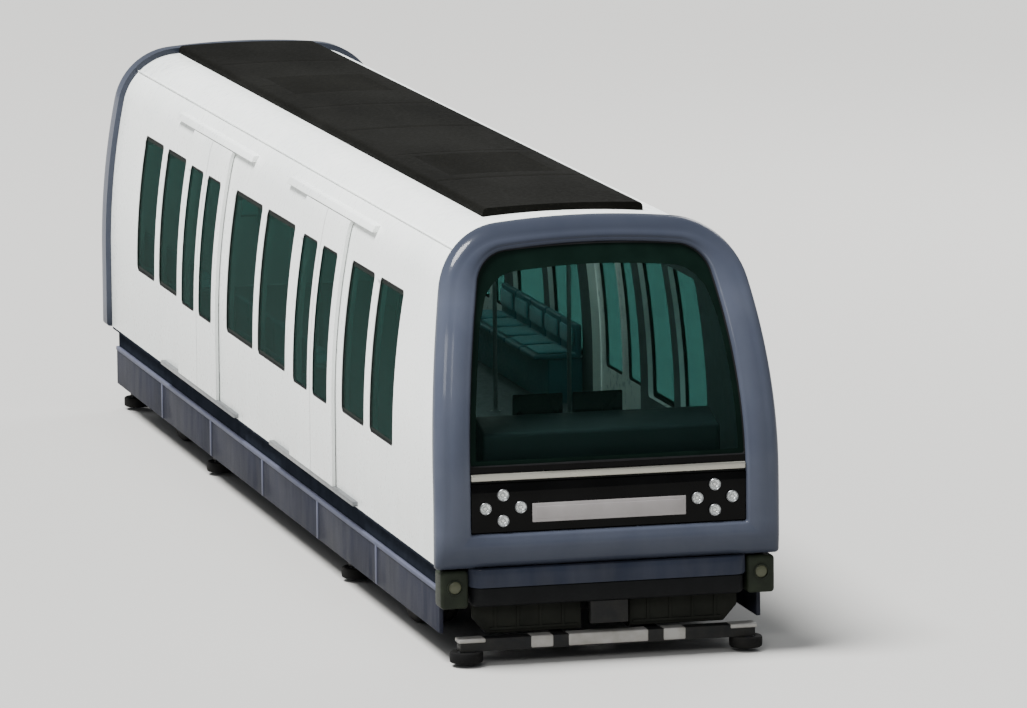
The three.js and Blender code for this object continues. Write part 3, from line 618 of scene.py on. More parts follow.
# %% Glass, lamps and plastics
def lens_plastic(name, colour, alpha, roughness=0.03, gloss=0.5):
    """Clear or smoked plastic: partly its own colour, partly clear, with faint dust in the roughness."""
    lens = Finish(name, colour, roughness, alpha=alpha, ior=1.5, specular_ior_level=gloss)
    lens.set_roughness(lens.ranged(lens.noise(3.0, 5.0), 0.35, 0.75, roughness, roughness + 0.07))
    return lens.material


def tinted_glass(name, colour, cover, tint, coat):
    """Dark green glass: each face shows its own colour by the share `cover` and lets tinted light by else."""
    glass = Finish(name, colour, 0.04, specular_ior_level=0.0, coat_weight=coat, coat_roughness=0.02)
    glass.set_roughness(glass.ranged(glass.noise(3.0, 5.0), 0.35, 0.75, 0.04, 0.12))
    clear = glass.add("ShaderNodeBsdfTransparent")
    clear.inputs["Color"].default_value = (*tint, 1.0)
    both = glass.add("ShaderNodeMixShader")
    both.inputs[0].default_value = cover
    glass.link(clear.outputs["BSDF"], both.inputs[1])
    glass.link(glass.shader.outputs["BSDF"], both.inputs[2])
    glass.link(both.outputs["Shader"], glass.tree.nodes["Material Output"].inputs["Surface"])
    return glass.material


def plain(name, colour, other, roughness, metallic=0.0, scale=6.0, grain=0.0, stretch=(1, 1, 1), **sockets):
    """A finish with soft clouds of a second colour and, where grain is given, a fine relief that deep."""
    finish = Finish(name, colour, roughness, metallic, **sockets)
    finish.varied(other, scale, min(0.08, roughness * 0.6), stretch)
    if grain:
        finish.relief(finish.noise(scale * 40, 2.0, stretch), grain, 0.5)
    return finish.material


GLASS = tinted_glass("side_glass", "04231E", 0.60, (0.52, 0.82, 0.79), 0.10)
SCREEN_GLASS = tinted_glass("windscreen_glass", "07120E", 0.22, (0.80, 0.96, 0.94), 0.3)
CLEAR = lens_plastic("lamp_lens", "E8ECEA", 0.22)
BLACK = plain("gloss_black", "050505", "090909", 0.3, scale=4.0, specular_ior_level=0.0, coat_weight=0.14)
FRIT = plain("black_glass_border", "07120E", "0B1813", 0.3, scale=5.0, specular_ior_level=0.0, coat_weight=0.12)
RECESS = plain("recess_navy", "252931", "1D2128", 0.7, scale=6.0, grain=0.0006, specular_ior_level=0.0)
SEAL = plain("seal_rubber", "131314", "1B1B1C", 0.72, grain=0.0008, specular_ior_level=0.08)
GREY = plain("light_grey_satin", "8D8988", "827E7D", 0.42, scale=5.0, grain=0.0004, specular_ior_level=0.3)
SILVER = plain("brushed_silver", "A5A399", "918F86", 0.3, 0.8, scale=8.0, stretch=(30, 1, 1))
CHROME = plain("lamp_reflector", "D9DBDB", "C6C9CA", 0.14, 1.0)
STEEL = plain("brushed_steel", "8B8D8E", "747678", 0.36, 0.9, scale=12.0, stretch=(1, 1, 12))
RIM_STEEL = plain("painted_wheel_steel", "6B6D6F", "4D4E4F", 0.5, 0.5, scale=9.0, grain=0.0006)
UNDERGEAR = plain("undergear_paint", "1B1C1E", "2C2A26", 0.68, 0.1, 5.0, 0.0015, specular_ior_level=0.2)
FRAME_BLACK = plain("bogie_paint", "131415", "22211E", 0.6, 0.1, 7.0, 0.0012, specular_ior_level=0.2)
BAR_GREY = plain("guide_bar_grey", "8F8D89", "77746D", 0.5, 0.2, scale=8.0, grain=0.0008)
LAMP_BODY = plain("marker_housing", "20251C", "191D16", 0.5, scale=12.0, grain=0.0006, specular_ior_level=0.1)
SMOKED = lens_plastic("smoked_lens", "4A4C3C", 0.9, 0.15, 0.2)
TAIL_RED = lens_plastic("tail_lens", "7A1210", 0.92, 0.12)
BUMPER_BLACK = plain("bumper_rubber", "0B0C0D", "101112", 0.6, scale=7.0, grain=0.0006, specular_ior_level=0.1)
CONSOLE = plain("console_plastic", "1E2022", "17191A", 0.5, scale=3.0, grain=0.0005, specular_ior_level=0.2)
LINING = plain("grey_lining", "5E6465", "525859", 0.6, scale=2.0, grain=0.0004, specular_ior_level=0.2)
# black of the apron: partly undergear, partly painted shade in the space under the bumper
APRON_GEAR_AND_SHADE_BLACK = plain("apron_gear_and_shade_black", "181916", "1F201C", 0.7, scale=5.0, grain=0.001, specular_ior_level=0.05)
LAMP_WHITE = plain("lamp_white", "DDDCD6", "D0CFC9", 0.5, scale=2.0)
SEAT_SHELL = plain("seat_shell_plastic", "3C6A73", "34606A", 0.4, scale=5.0, grain=0.0005)
print("glass, plastics and metals ready")


# %% [markdown]
# ## Rubber, vinyl and cloth
# Tyres are matt and dusty, the floor is vinyl with chips, and the seats wear a woven cover. A weave could
# be modelled thread by thread, but that costs millions of faces. Two sines that cross give the same light
# and dark. They run along y and along x + z, so that one finish serves level seats and upright backs.


# %% Rubber, vinyl and cloth
def worn_rubber(name, colour, dust):
    """Black rubber with grey dust in its clouds."""
    rubber = Finish(name, colour, 0.85, specular_ior_level=0.15)
    rubber.varied(dust, 6.0, 0.06)
    rubber.relief(rubber.noise(300.0, 2.0), 0.0008, 0.5)
    return rubber.material


def speckled_vinyl():
    """Grey floor vinyl with light and dark chips."""
    vinyl = Finish("floor_vinyl", "5A5E62", 0.6)
    cells = vinyl.add("ShaderNodeTexVoronoi")
    cells.inputs["Scale"].default_value = 130.0
    vinyl.link(vinyl.place, cells.inputs["Vector"])
    chips = vinyl.ranged(cells.outputs["Distance"], 0.12, 0.2, 1.0, 0.0)
    vinyl.set_colour(vinyl.mixed(chips, vinyl.mixed(vinyl.noise(40.0), "54585C", "62666A"), "9A9C9B"))
    vinyl.set_roughness(vinyl.ranged(vinyl.noise(25.0), 0.3, 0.7, 0.5, 0.7))
    return vinyl.material


def seat_fabric():
    """Woven teal cloth: sines of y and of x + z cross as threads, on level seats and on upright backs alike."""
    cloth = Finish("seat_cloth", "3F7A84", 0.9, sheen_weight=0.3)
    threads = []
    for along in ((0, 4200, 0), (4200, 0, 4200)):
        dot = cloth.add("ShaderNodeVectorMath", operation="DOT_PRODUCT")
        dot.inputs[1].default_value = along
        cloth.link(cloth.place, dot.inputs[0])
        threads.append(cloth.math("SINE", dot.outputs["Value"]))
    height = cloth.ranged(cloth.math("MULTIPLY", *threads), -1.0, 1.0, 0.0, 1.0)
    tint = cloth.ranged(cloth.noise(18.0), 0.35, 0.65, 0.0, 1.0)
    cloth.set_colour(cloth.mixed(height, cloth.mixed(tint, "2F626C", "3F7A84"), "5E99A1"))
    cloth.relief(height, 0.0015, 0.6)
    return cloth.material


TYRE_RUBBER = worn_rubber("tyre_rubber", "171717", "2B2926")
GUIDE_RUBBER = worn_rubber("guide_rubber", "0C0C0C", "181715")
VINYL = speckled_vinyl()
SEAT_CLOTH = seat_fabric()
print("finishes", len(bpy.data.materials))

# %% [markdown]
# ## Hoops
# The slate hoop is a moulded frame round each end of the body. Extruding its outline and bevelling it would
# be the quick way, but its outer edge is broad and its inner edge tight, and a bevel has one width. So a
# cross-section is carried between two rings, the body's outline a little proud and the opening: up the
# outer side, round a broad edge, over a slightly crowned face, round a tighter edge and back. Each point of
# one ring has its partner on the other.


# %% Hoops
def hoop_profile(depth, outer_round, inner_round, crown):
    """Rows (share of the width, metres added, depth): across = share * width + metres."""
    turn = np.linspace(0, np.pi / 2, 8)
    rows = [(0.0, 0.0, depth), (0.0, 0.0, (depth + outer_round[1] + crown) / 2)]
    for angle in turn:
        inwards, back = outer_round[0] * (1 - math.cos(angle)), outer_round[1] * (1 - math.sin(angle))
        rows.append((0.0, inwards, back + crown))
    for t in np.linspace(0, 1, 9)[1:-1]:
        rows.append((t, outer_round[0] - t * (outer_round[0] + inner_round[0]), crown * (2 * t - 1) ** 2))
    for angle in turn[::-1]:
        outwards, back = inner_round[0] * (1 - math.cos(angle)), inner_round[1] * (1 - math.sin(angle))
        rows.append((1.0, -outwards, back + crown))
    rows.append((1.0, 0.0, depth))
    return np.array(rows)


def hoop_shape(profile, outer, inner, y_of):
    """Carries the profile between two rings of (x, z) partners; y_of gives y from depth and height."""
    across = inner - outer
    width = np.linalg.norm(across, axis=1)[:, None]
    distance = profile[:, 0] * width + profile[:, 1]
    x = outer[:, :1] + across[:, :1] / width * distance
    z = outer[:, 1:] + across[:, 1:] / width * distance
    return grid_shape(np.stack([x, y_of(profile[:, 2] + 0 * x, z), z], -1), True, True)


def tuck(depth, z):
    """The front face falls back by 35 mm from a crease at z 0.92 down to the low edge; the back stays put."""
    return 0.035 * np.clip((0.92 - z) / 0.15, 0, 1) * np.clip(1 - depth / 0.14, 0, 1)


HOOP_OUTER = closed_loop(BODY.half_outline(SIDE_LOW_Z, 0.05, 0.03, (10, 12, 16, 14, 14)))
HOOP_INNER = closed_loop(OPENING.half_outline(1.04, 0.0, 0.02, (10, 12, 16, 14, 14)))
front_hoop = make(
    "hoop_front",
    hoop_shape(
        hoop_profile(0.14, (0.10, 0.085), (0.035, 0.04), 0.012),
        HOOP_OUTER,
        HOOP_INNER,
        lambda depth, z: FRONT_Y + depth + lean(z) + tuck(depth, z),
    ),
)
finished(front_hoop, "car", SLATE, ["front_hoop"])
rear_hoop = make(
    "hoop_rear",
    hoop_shape(
        hoop_profile(HOOP_REAR_Y - BODY_REAR_Y - 0.0003, (0.07, 0.06), (0.04, 0.04), 0.008),
        HOOP_OUTER,
        HOOP_INNER,
        lambda depth, z: HOOP_REAR_Y - depth,
    ),
)
finished(rear_hoop, "car", SLATE, ["rear_hoop"])


def seam_seal(low, high, y_front, y_rear, leaned):
    """A black ring just under the hoop's edge that fills the joint between hoop and body."""
    outer = closed_loop(BODY.half_outline(SIDE_LOW_Z + 0.004, high))
    inner = closed_loop(BODY.half_outline(SIDE_LOW_Z + 0.03, low))
    rows = []
    for ring_points, y in ((outer, y_front), (outer, y_rear), (inner, y_rear), (inner, y_front)):
        back = lean(ring_points[:, 1]) if leaned else 0 * ring_points[:, 1]
        rows.append(np.stack([ring_points[:, 0], y + back, ring_points[:, 1]], -1))
    return grid_shape(np.stack(rows, 1), True, True)


joint = seam_seal(-0.03, 0.012, BODY_FRONT_Y - 0.004, BODY_FRONT_Y + 0.012, True)
added("hoop_joint", joint, "car", SEAL)
print("hoops", len(front_hoop.data.polygons), "faces each")

# %% [markdown]
# ## Side walls
# The side wall is a curved sheet, cut for windows and doorways, with a lining inside. Booleans could cut
# the holes, but they leave long thin faces that shade badly on a curve. Here grid lines run along the edges
# of every hole, and the square cell left in each corner becomes a fan of triangles out to a round arc. A
# Solidify modifier then makes the sheet solid.


# %% Pierced sheets
def merged_lines(lines, extra):
    """Grid lines and extra ones in order, without doubles."""
    return np.unique(np.round(np.concatenate([lines, np.asarray(extra, float).ravel()]), 5))


def pierced(ys, zs, holes, place, steps=6):
    """A sheet over (y, z) with holes (y0, y1, z0, z1, low radius, high radius), set in space by place(y, z)."""
    for y0, y1, z0, z1, low, high in holes:
        radius = max(low, high)
        ys = merged_lines(ys, [y0, y1, y0 + radius, y1 - radius])
        zs = merged_lines(zs, [z0, z1, z0 + low, z1 - high])
    y, z = np.meshgrid(ys, zs, indexing="ij")
    quads = np.array(grid_faces(len(ys), len(zs)))
    middle_y, middle_z = y.ravel()[quads].mean(1), z.ravel()[quads].mean(1)
    keep = np.ones(len(quads), bool)
    extra, fans, start = [], [], y.size
    for y0, y1, z0, z1, low, high in holes:
        keep &= ~((middle_y > y0) & (middle_y < y1) & (middle_z > z0) & (middle_z < z1))
        for corner_y, corner_z, way_y, way_z, radius in (
            (y0, z0, 1, 1, low), (y1, z0, -1, 1, low), (y0, z1, 1, -1, high), (y1, z1, -1, -1, high),
        ):
            if radius <= 0:
                continue
            turn = np.linspace(0, np.pi / 2, steps + 1)
            arc_y = corner_y + way_y * radius * (1 - np.sin(turn))
            arc_z = corner_z + way_z * radius * (1 - np.cos(turn))
            fan = np.concatenate([[[corner_y, corner_z]], np.stack([arc_y, arc_z], 1)])
            extra.append(fan)
            fans.extend([[start, start + 1 + k, start + 2 + k] for k in range(steps)])
            start += len(fan)
    points = np.concatenate([np.stack([y.ravel(), z.ravel()], 1), *extra])
    return place(points[:, 0], points[:, 1]), quads[keep].tolist() + fans


def pane_holes():
    """The holes of all panes of one side."""
    return [
        (PATTERN_Y + a, PATTERN_Y + b, PANE_LOW_Z, PANE_HIGH_Z, PANE_ROUND, PANE_ROUND)
        for pair in PANES.values()
        for a, b in pair
    ]


def wall_place(side):
    """Where (y, z) of a wall lies: on the section, with its front edge leaning back as the hoop does."""
    first_line = PATTERN_Y + PANES["front"][0][0]

    def place(y, z):
        """The lean fades out from the front edge to the first window."""
        share = np.clip((first_line - y) / (first_line - BODY_FRONT_Y), 0, 1)
        return np.stack([side * BODY.x(z), y + lean(z) * share, z], -1)

    return place


print("panes a side", len(pane_holes()))

# %% Walls
WALL_Z = np.concatenate([np.linspace(SIDE_LOW_Z, 2.7, 26), np.linspace(2.74, SEAM_Z, 20)])
WALL_Y = np.linspace(BODY_FRONT_Y, SHEET_REAR_Y, 14)
DOORWAYS = [(y - 0.765, y + 0.765, FLOOR_Z, 2.95, 0.0, 0.045) for y in DOOR_Y.values()]

for name, side in SIDES.items():
    sheet = pierced(WALL_Y, WALL_Z, pane_holes() + DOORWAYS, wall_place(side))
    wall = bevelled(thickened(make(f"wall_{name}", sheet, (side, 0, 0)), 0.07), 0.003)
    finished(wall, "car", (WHITE, LINING), [f"side_wall_{name}"])
print("walls", len(wall.data.polygons), "faces each")

# %% [markdown]
# ## Roof
# The roof shell runs from seam to seam in one fine arc. A drip rail covers each seam, and the dark fairing
# lies on the crown: a low tray with rounded edges, cross joints and two ribbed grilles over the air
# outlets. The grilles could be rows of slats. From this far only their shadow lines show, so a height
# formula over one grid makes arc, joints and ribs together, with fine rows only where the ribs are.


# %% Roof shell and drip rails
def roof_outline(offset):
    """Points (x, z) from the left seam over the crown to the right seam."""
    shoulder = np.linspace(math.radians(45.05), BODY.crown_start, 18)
    r = BODY.shoulder_radius + offset
    right = np.stack([BODY.shoulder_x + r * np.cos(shoulder), BODY.shoulder_z + r * np.sin(shoulder)], 1)
    crown = np.linspace(BODY.crown_start, np.pi / 2, 12)[1:]
    r = BODY.crown_radius + offset
    middle = np.stack([r * np.cos(crown), BODY.crown_z + r * np.sin(crown)], 1)
    half = np.concatenate([right, middle])
    return np.concatenate([half, (half[:-1] * (-1, 1))[::-1]])


roof_line = roof_outline(0.0)
roof_y = np.concatenate([[BODY_FRONT_Y], np.linspace(-5.9, SHEET_REAR_Y, 12)])
back = np.where(np.arange(len(roof_y)) == 0, 1.0, 0.0)[:, None] * lean(roof_line[:, 1])
roof_points = surface(roof_line[:, 0], roof_y[:, None] + back, roof_line[:, 1])
roof = thickened(make("roof", grid_shape(roof_points), (0, 0, 1)), 0.07)
finished(bevelled(roof, 0.003), "car", (WHITE, LINING), ["roof_shell"])

DRIP = np.array([(-0.012, -0.004), (0.014, -0.002), (0.018, 0.004), (0.014, 0.011), (-0.012, 0.010)])
out_x, out_z = math.cos(math.radians(45)), math.sin(math.radians(45))
for name, side in SIDES.items():
    seam_x = float(BODY.x(SEAM_Z))
    outline = np.stack([
        side * (seam_x + DRIP[:, 0] * out_x - DRIP[:, 1] * out_z),
        SEAM_Z + DRIP[:, 0] * out_z + DRIP[:, 1] * out_x,
    ], 1)
    rail = along_y(outline, BODY_FRONT_Y + float(lean(SEAM_Z)) + 0.03, BODY_REAR_Y - 0.02)
    finished(bevelled(make(f"drip_rail_{name}", rail), 0.002), "car", WHITE)
print("roof", len(roof.data.polygons), "faces")


# %% Roof fairing
FAIRING_FRONT_Y, FAIRING_TOP_Z, FAIRING_FLAT, FAIRING_FALL = FRONT_Y + 1.4, 3.3945, 0.61, 0.0165
FAIRING_JOINTS = np.linspace(FAIRING_FRONT_Y, BODY_REAR_Y, 8)[1:-1]
OUTLETS_Y = (MID_Y - 2.55, MID_Y + 3.1)
OUTLET_HALF_Y, OUTLET_HALF_X, RIB_PITCH = 0.62, 0.44, 0.062


def fairing_height(x, y):
    """Top of the fairing: a shallow arc, less a groove at each cross joint and ribs over the two outlets."""
    arc = FAIRING_TOP_Z - FAIRING_FALL * (np.abs(x) / FAIRING_FLAT) ** 2
    joint_at = np.min(np.abs(y[..., None] - FAIRING_JOINTS), -1)
    groove = 0.007 * np.clip(1 - joint_at / 0.012, 0, 1)
    ribs = np.zeros_like(y)
    for centre in OUTLETS_Y:
        inside = (np.abs(y - centre) < OUTLET_HALF_Y) & (np.abs(x) < OUTLET_HALF_X)
        ribs += np.where(inside, 0.006 * (0.5 - 0.5 * np.cos((y - centre) * 2 * np.pi / RIB_PITCH)), 0)
    return arc - groove - ribs


fairing_y = np.unique(np.round(np.concatenate([
    np.linspace(FAIRING_FRONT_Y, BODY_REAR_Y - 0.001, 60),
    *[np.array([-0.013, -0.006, 0.0, 0.006, 0.013]) + y for y in FAIRING_JOINTS],
    *[np.linspace(y - OUTLET_HALF_Y, y + OUTLET_HALF_Y, 161) for y in OUTLETS_Y],
]), 5))
half_x = np.array([0.0, 0.15, 0.3, OUTLET_HALF_X - 0.001, OUTLET_HALF_X + 0.001, 0.52, 0.60])
fairing_x = np.concatenate([-half_x[:0:-1], half_x])
ys, xs = np.meshgrid(fairing_y, fairing_x, indexing="ij")
tops = np.stack([xs, ys, fairing_height(xs, ys)], -1)
edge_turn = np.linspace(0, np.pi / 2, 5)


def fairing_edge(side):
    """The rounded edge and the side of the fairing, down to the roof."""
    x = side * np.concatenate([FAIRING_FLAT + 0.04 * np.sin(edge_turn), [0.65, 0.65]])
    z = np.concatenate([3.3366 + 0.0415 * np.cos(edge_turn), [3.325, 3.309]])
    return surface(x, fairing_y[:, None], z)


left_edge, right_edge = fairing_edge(-1)[:, ::-1], fairing_edge(1)
bottom_x = np.linspace(0.64, -0.64, 9)
bottom_z = BODY.crown_z + np.sqrt((BODY.crown_radius + 0.001) ** 2 - bottom_x**2)
fairing = np.concatenate([left_edge, tops, right_edge, surface(bottom_x, fairing_y[:, None], bottom_z)], 1)
fairing_piece = make("roof_fairing_tray", grid_shape(fairing, wrap_cols=True, cap_rows=True))
finished(bevelled(fairing_piece, 0.002, 1), "car", ROOF, ["roof_fairing"], sharp=40)
print("fairing", len(fairing_piece.data.polygons), "faces")

# %% [markdown]
# ## Windscreen
# The screen is one bent sheet, glued in and sealed, with a black border printed round its rim. It could be
# a plane with a Lattice on it. Here rings of the opening's outline shrink towards the middle, and each
# point is set on the leaning front with its middle a little ahead of the edges. So the glass, the border
# and the seal share one rim.


# %% Windscreen and border
SCREEN_LOW_Z = 1.56
screen_ring = closed_loop(OPENING.half_outline(SCREEN_LOW_Z, 0.003, 0.02, (14, 3, 16, 12, 12)))
SCREEN_CENTRE = np.array([0.0, 2.35])


def screen_y(x, z, proud=0.0):
    """The screen's face: behind the front plane, leaning with it, and crowned across its width."""
    return FRONT_Y + 0.045 + 0.025 * (x / 1.1) ** 2 - proud + lean(z)


def on_screen(flat, proud=0.0):
    """Points (x, z) set on the screen's face, this far in front of it."""
    return surface(flat[..., 0], screen_y(flat[..., 0], flat[..., 1], proud), flat[..., 1])


def screen_frame(*rows):
    """A closed frame through rings of (x, z), each with how far it stands in front of the screen."""
    return grid_shape(np.stack([on_screen(flat, proud) for flat, proud in rows], 1), True, True)


to_centre = SCREEN_CENTRE - screen_ring
shrinking = SCREEN_CENTRE - to_centre * np.linspace(0, 1, 15)[:, None, None]
screen = make("windscreen_sheet", grid_shape(on_screen(shrinking), wrap_cols=True), (0, -1, 0))
finished(thickened(screen, 0.012), "car", SCREEN_GLASS, ["windscreen"], sharp=40)

BORDER_SIDE, BORDER_TOP, BORDER_FOOT = 0.055, 0.16, 0.045
ring_x, ring_z = screen_ring.T
border_inner = screen_ring - np.stack([
    BORDER_SIDE * np.sign(ring_x) * np.clip(np.abs(ring_x) / 0.25, 0, 1),
    BORDER_TOP * np.clip((ring_z - 2.6) / 0.45, 0, 1) - BORDER_FOOT * np.clip((1.62 - ring_z) / 0.06, 0, 1),
], 1)
border = screen_frame(
    (screen_ring, 0.003), (border_inner, 0.003), (border_inner, 0.0005), (screen_ring, 0.0005)
)
SEAL_WIDTH = 0.014
seal_inner = screen_ring + to_centre * (SEAL_WIDTH / np.linalg.norm(to_centre, axis=1))[:, None]
seal = screen_frame(
    (screen_ring, 0.016), (screen_ring, -0.014), (seal_inner, -0.014), (seal_inner, 0.004),
    (seal_inner * (1.003, 1), 0.013),
)
added("windscreen_seal", seal, "car", SEAL)
added("windscreen_border", border, "car", FRIT)
print("windscreen", len(screen.data.polygons), "faces")

# %% [markdown]
# ## Front band
# Under the screen a brushed strip runs across, over a gloss black band with a blank light-grey plate in its
# middle. Cubes with a Bevel modifier would do. The block formula gives the same round edges as points,
# which keeps these pieces exact where they lie a few millimetres in front of one another.


# %% Band, strip and plate
BAND_HALF = 1.0975
BAND_FRONT_Y = FRONT_Y + 0.0497
BAND_THICK = 0.0245
PLATE_HALF, PLATE_LOW_Z, PLATE_HIGH_Z, PLATE_RIM = 0.613, 1.117, 1.266, 0.025
band = block((-BAND_HALF, BAND_FRONT_Y, 1.048), (BAND_HALF, BAND_FRONT_Y + BAND_THICK, 1.431), 0.006)
added("lamp_band_panel", band, "car", BLACK, ["lamp_band"])
strip = block((-BAND_HALF, BAND_FRONT_Y - 0.006, 1.452), (BAND_HALF, FRONT_Y + 0.0745, 1.508), 0.011, 4)
added("silver_strip_bar", strip, "car", SILVER, ["silver_strip"])
plate = block((-PLATE_HALF, BAND_FRONT_Y - 0.011, PLATE_LOW_Z), (PLATE_HALF, BAND_FRONT_Y, PLATE_HIGH_Z), 0.006)
inner_half = PLATE_HALF - PLATE_RIM
raised = block(
    (-inner_half, BAND_FRONT_Y - 0.0145, PLATE_LOW_Z + PLATE_RIM),
    (inner_half, BAND_FRONT_Y - 0.006, PLATE_HIGH_Z - PLATE_RIM),
    0.004,
)
added("centre_plate", joined(plate, raised), "car", GREY, ["front_plate"])
painted("front_panel", BLACK)
print("band", round(2 * BAND_HALF, 3), "m wide")

# %% [markdown]
# ## Round lamps
# Four lamps stand in a diamond at each end of the band. A lamp is a steel bezel, a bright bowl, a bulb and
# a domed lens. It could be one textured disc, but highlights that move with the view need a real bowl
# behind a real lens. Each part is a section turned about the lamp's axis and copied to all eight places.

# %% Round lamps
ORIGIN = (0, 0, 0)
DIAMOND_X, DIAMOND_Z, DIAMOND_HALF, DIAMOND_RISE = 0.845, 1.24, 0.14, 0.10
LAMP_PLACES = [
    (side * DIAMOND_X + across, BAND_FRONT_Y, DIAMOND_Z + up)
    for side in SIDES.values()
    for across, up in ((-DIAMOND_HALF, 0), (DIAMOND_HALF, 0), (0, -DIAMOND_RISE), (0, DIAMOND_RISE))
]
bezel_section = [
    (0.047, 0.0), (0.047, -0.016), (0.0445, -0.0195), (0.041, -0.0195), (0.0385, -0.016), (0.0385, 0.0),
]
reflector_section = [
    (0.0, 0.006), (0.012, 0.004), (0.026, -0.002), (0.037, -0.012),
    (0.0385, -0.012), (0.0385, 0.008), (0.0, 0.008),
]
bulb_section = [(0.0, 0.004), (0.009, 0.003), (0.011, -0.003), (0.008, -0.008), (0.0, -0.010)]
lens_section = [
    (0.0, -0.0185), (0.014, -0.0178), (0.028, -0.0158), (0.0380, -0.0125),
    (0.0380, -0.0105), (0.028, -0.0136), (0.014, -0.0155), (0.0, -0.0162),
]
bezel = ring(bezel_section, ORIGIN, "y", 40)
reflector = turned(reflector_section, ORIGIN, "y", 40)
bulb = turned(bulb_section, ORIGIN, "y", 20)
lens = turned(lens_section, ORIGIN, "y", 40)
for name, part, finish in (
    ("lamp_bezels", bezel, STEEL), ("lamp_reflectors", reflector, CHROME),
    ("lamp_bulbs", bulb, LAMP_WHITE), ("lamp_lenses", lens, CLEAR),
):
    added(name, copies(part, LAMP_PLACES), "car", finish)
print("lamps", len(LAMP_PLACES))

# %% [markdown]
# ## Bumper
# The bumper is a rubber-faced beam that runs across the front and turns round two corners. A curve object
# with a bevel profile could make it. Carrying a profile of (outwards, z) along the path by hand keeps the
# profile upright in the corners and gives both lips from one path. The upper lip stands proud, with a
# groove under it.


# %% Bumper
def bumper_path(half, front, back, radius, steps=8):
    """Plan of the bumper as points (x, y) and outward directions, from the left rear round the front."""
    turn = np.linspace(np.pi / 2, 0, steps + 1)
    corner = np.stack([half - radius + radius * np.cos(turn), front + radius - radius * np.sin(turn)], 1)
    outward = np.stack([np.cos(turn), -np.sin(turn)], 1)
    middle = np.stack([np.linspace(0, half - radius, 12, endpoint=False), np.full(12, front)], 1)
    points = np.concatenate([middle, corner, [[half, back]]])
    ways = np.concatenate([np.tile([[0.0, -1.0]], (12, 1)), outward, [[1.0, 0.0]]])
    flip = np.array([-1, 1])
    return np.concatenate([(points[1:] * flip)[::-1], points]), np.concatenate([(ways[1:] * flip)[::-1], ways])


BUMPER_HALF, BUMPER_FRONT_Y, BUMPER_REAR_Y, BUMPER_CORNER = 1.11, FRONT_Y + 0.025, FRONT_Y + 0.3195, 0.11
path, outward = bumper_path(BUMPER_HALF, BUMPER_FRONT_Y, BUMPER_REAR_Y, BUMPER_CORNER)
upper_profile = np.array([
    (-0.06, 0.7695), (-0.014, 0.7695), (-0.004, 0.765), (0.0, 0.755),
    (0.0, 0.634), (-0.005, 0.624), (-0.018, 0.620), (-0.06, 0.620),
])
lower_profile = np.array([
    (-0.06, 0.6195), (-0.026, 0.6195), (-0.020, 0.614), (-0.018, 0.606),
    (-0.018, 0.50), (-0.024, 0.482), (-0.040, 0.4705), (-0.06, 0.4705),
])


def swept(profile):
    """The bumper's path with a profile of (outwards, z) carried along it."""
    plan = path[:, None, :] + outward[:, None, :] * profile[:, 0][:, None]
    heights = np.tile(profile[:, 1], (len(path), 1))
    return grid_shape(np.concatenate([plan, heights[..., None]], -1), wrap_cols=True, cap_rows=True)


inside = BUMPER_HALF - 0.06
beam = block((-inside, FRONT_Y + 0.08, 0.50), (inside, FRONT_Y + 0.318, 0.74), 0.01)
added("bumper_beam", joined(swept(upper_profile), beam), "car", BUMPER_SLATE, ["front_bumper"])
added("bumper_lip", swept(lower_profile), "car", BUMPER_BLACK)
print("bumper path", len(path), "points")

# %% [markdown]
# ## Apron and corner lamps
# Under the bumper hangs a black apron in two halves, each with a corner cut off and ribs across it, and a
# marker lamp sits at each corner. Its black stands partly for undergear and partly for painted shade in the
# space under the bumper. The apron could be moulded as one sheet. Plates and bars laid over one
# another are simpler and catch the light on every edge. One side is worked out and mirrored.


# %% Apron and corner lamps
APRON_FRONT_Y, APRON_REAR_Y = FRONT_Y + 0.182, FRONT_Y + 0.248
LAMP_FACE_Y, LAMP_REAR_Y, LAMP_X, LAMP_Z = FRONT_Y + 0.07, FRONT_Y + 0.285, 1.225, 0.63
apron_outline = np.array([(0.192, 0.478), (1.058, 0.478), (1.058, 0.36), (0.949, 0.237), (0.192, 0.237)])
rim_section = [(0.062, 0.004), (0.062, -0.008), (0.058, -0.012), (0.052, -0.012), (0.050, 0.004)]
dome_section = [(0.0, -0.010), (0.02, -0.009), (0.04, -0.005), (0.05, 0.001), (0.05, 0.004), (0.0, 0.004)]
rib = block((-0.012, APRON_FRONT_Y - 0.010, 0.262), (0.012, APRON_FRONT_Y + 0.004, 0.455), 0.005, 2)
ribs = copies(rib, [(x, 0, 0) for x in (0.34, 0.52, 0.70, 0.88)])
foot = block((0.22, APRON_FRONT_Y - 0.014, 0.262), (0.93, APRON_FRONT_Y + 0.004, 0.285), 0.006, 2)
housing = block((1.115, LAMP_FACE_Y, 0.46), (1.335, LAMP_REAR_Y, 0.755), 0.03, 4)
# the apron's black plates stand for undergear and for painted shade under the bumper
for name, side in SIDES.items():
    plate = along_y(apron_outline * (side, 1), APRON_FRONT_Y, APRON_REAR_Y)
    apron = bevelled(make(f"apron_{name}", plate), 0.010, 3)
    finished(apron, "car", APRON_GEAR_AND_SHADE_BLACK)
    added(f"apron_ribs_{name}", mirrored(joined(ribs, foot), side), "car", APRON_GEAR_AND_SHADE_BLACK)
    added(f"corner_lamp_{name}", mirrored(housing, side), "car", LAMP_BODY)
    at = (side * LAMP_X, LAMP_FACE_Y, LAMP_Z)
    added(f"corner_lamp_rim_{name}", ring(rim_section, at, "y", 36), "car", LAMP_BODY)
    added(f"corner_lamp_lens_{name}", turned(dome_section, at, "y", 36), "car", SMOKED)
print("corner lamps", len(SIDES))

# %% [markdown]
# ## Side windows
# Each pane is toughened glass in a rubber gasket, with a black border printed on it. Flat panes would be
# simplest, but the wall is curved, and flat glass would stand off it. So a rounded outline gets extra
# points along its straight runs, rings of it shrink towards the middle, and every point is set on the
# wall's own section.


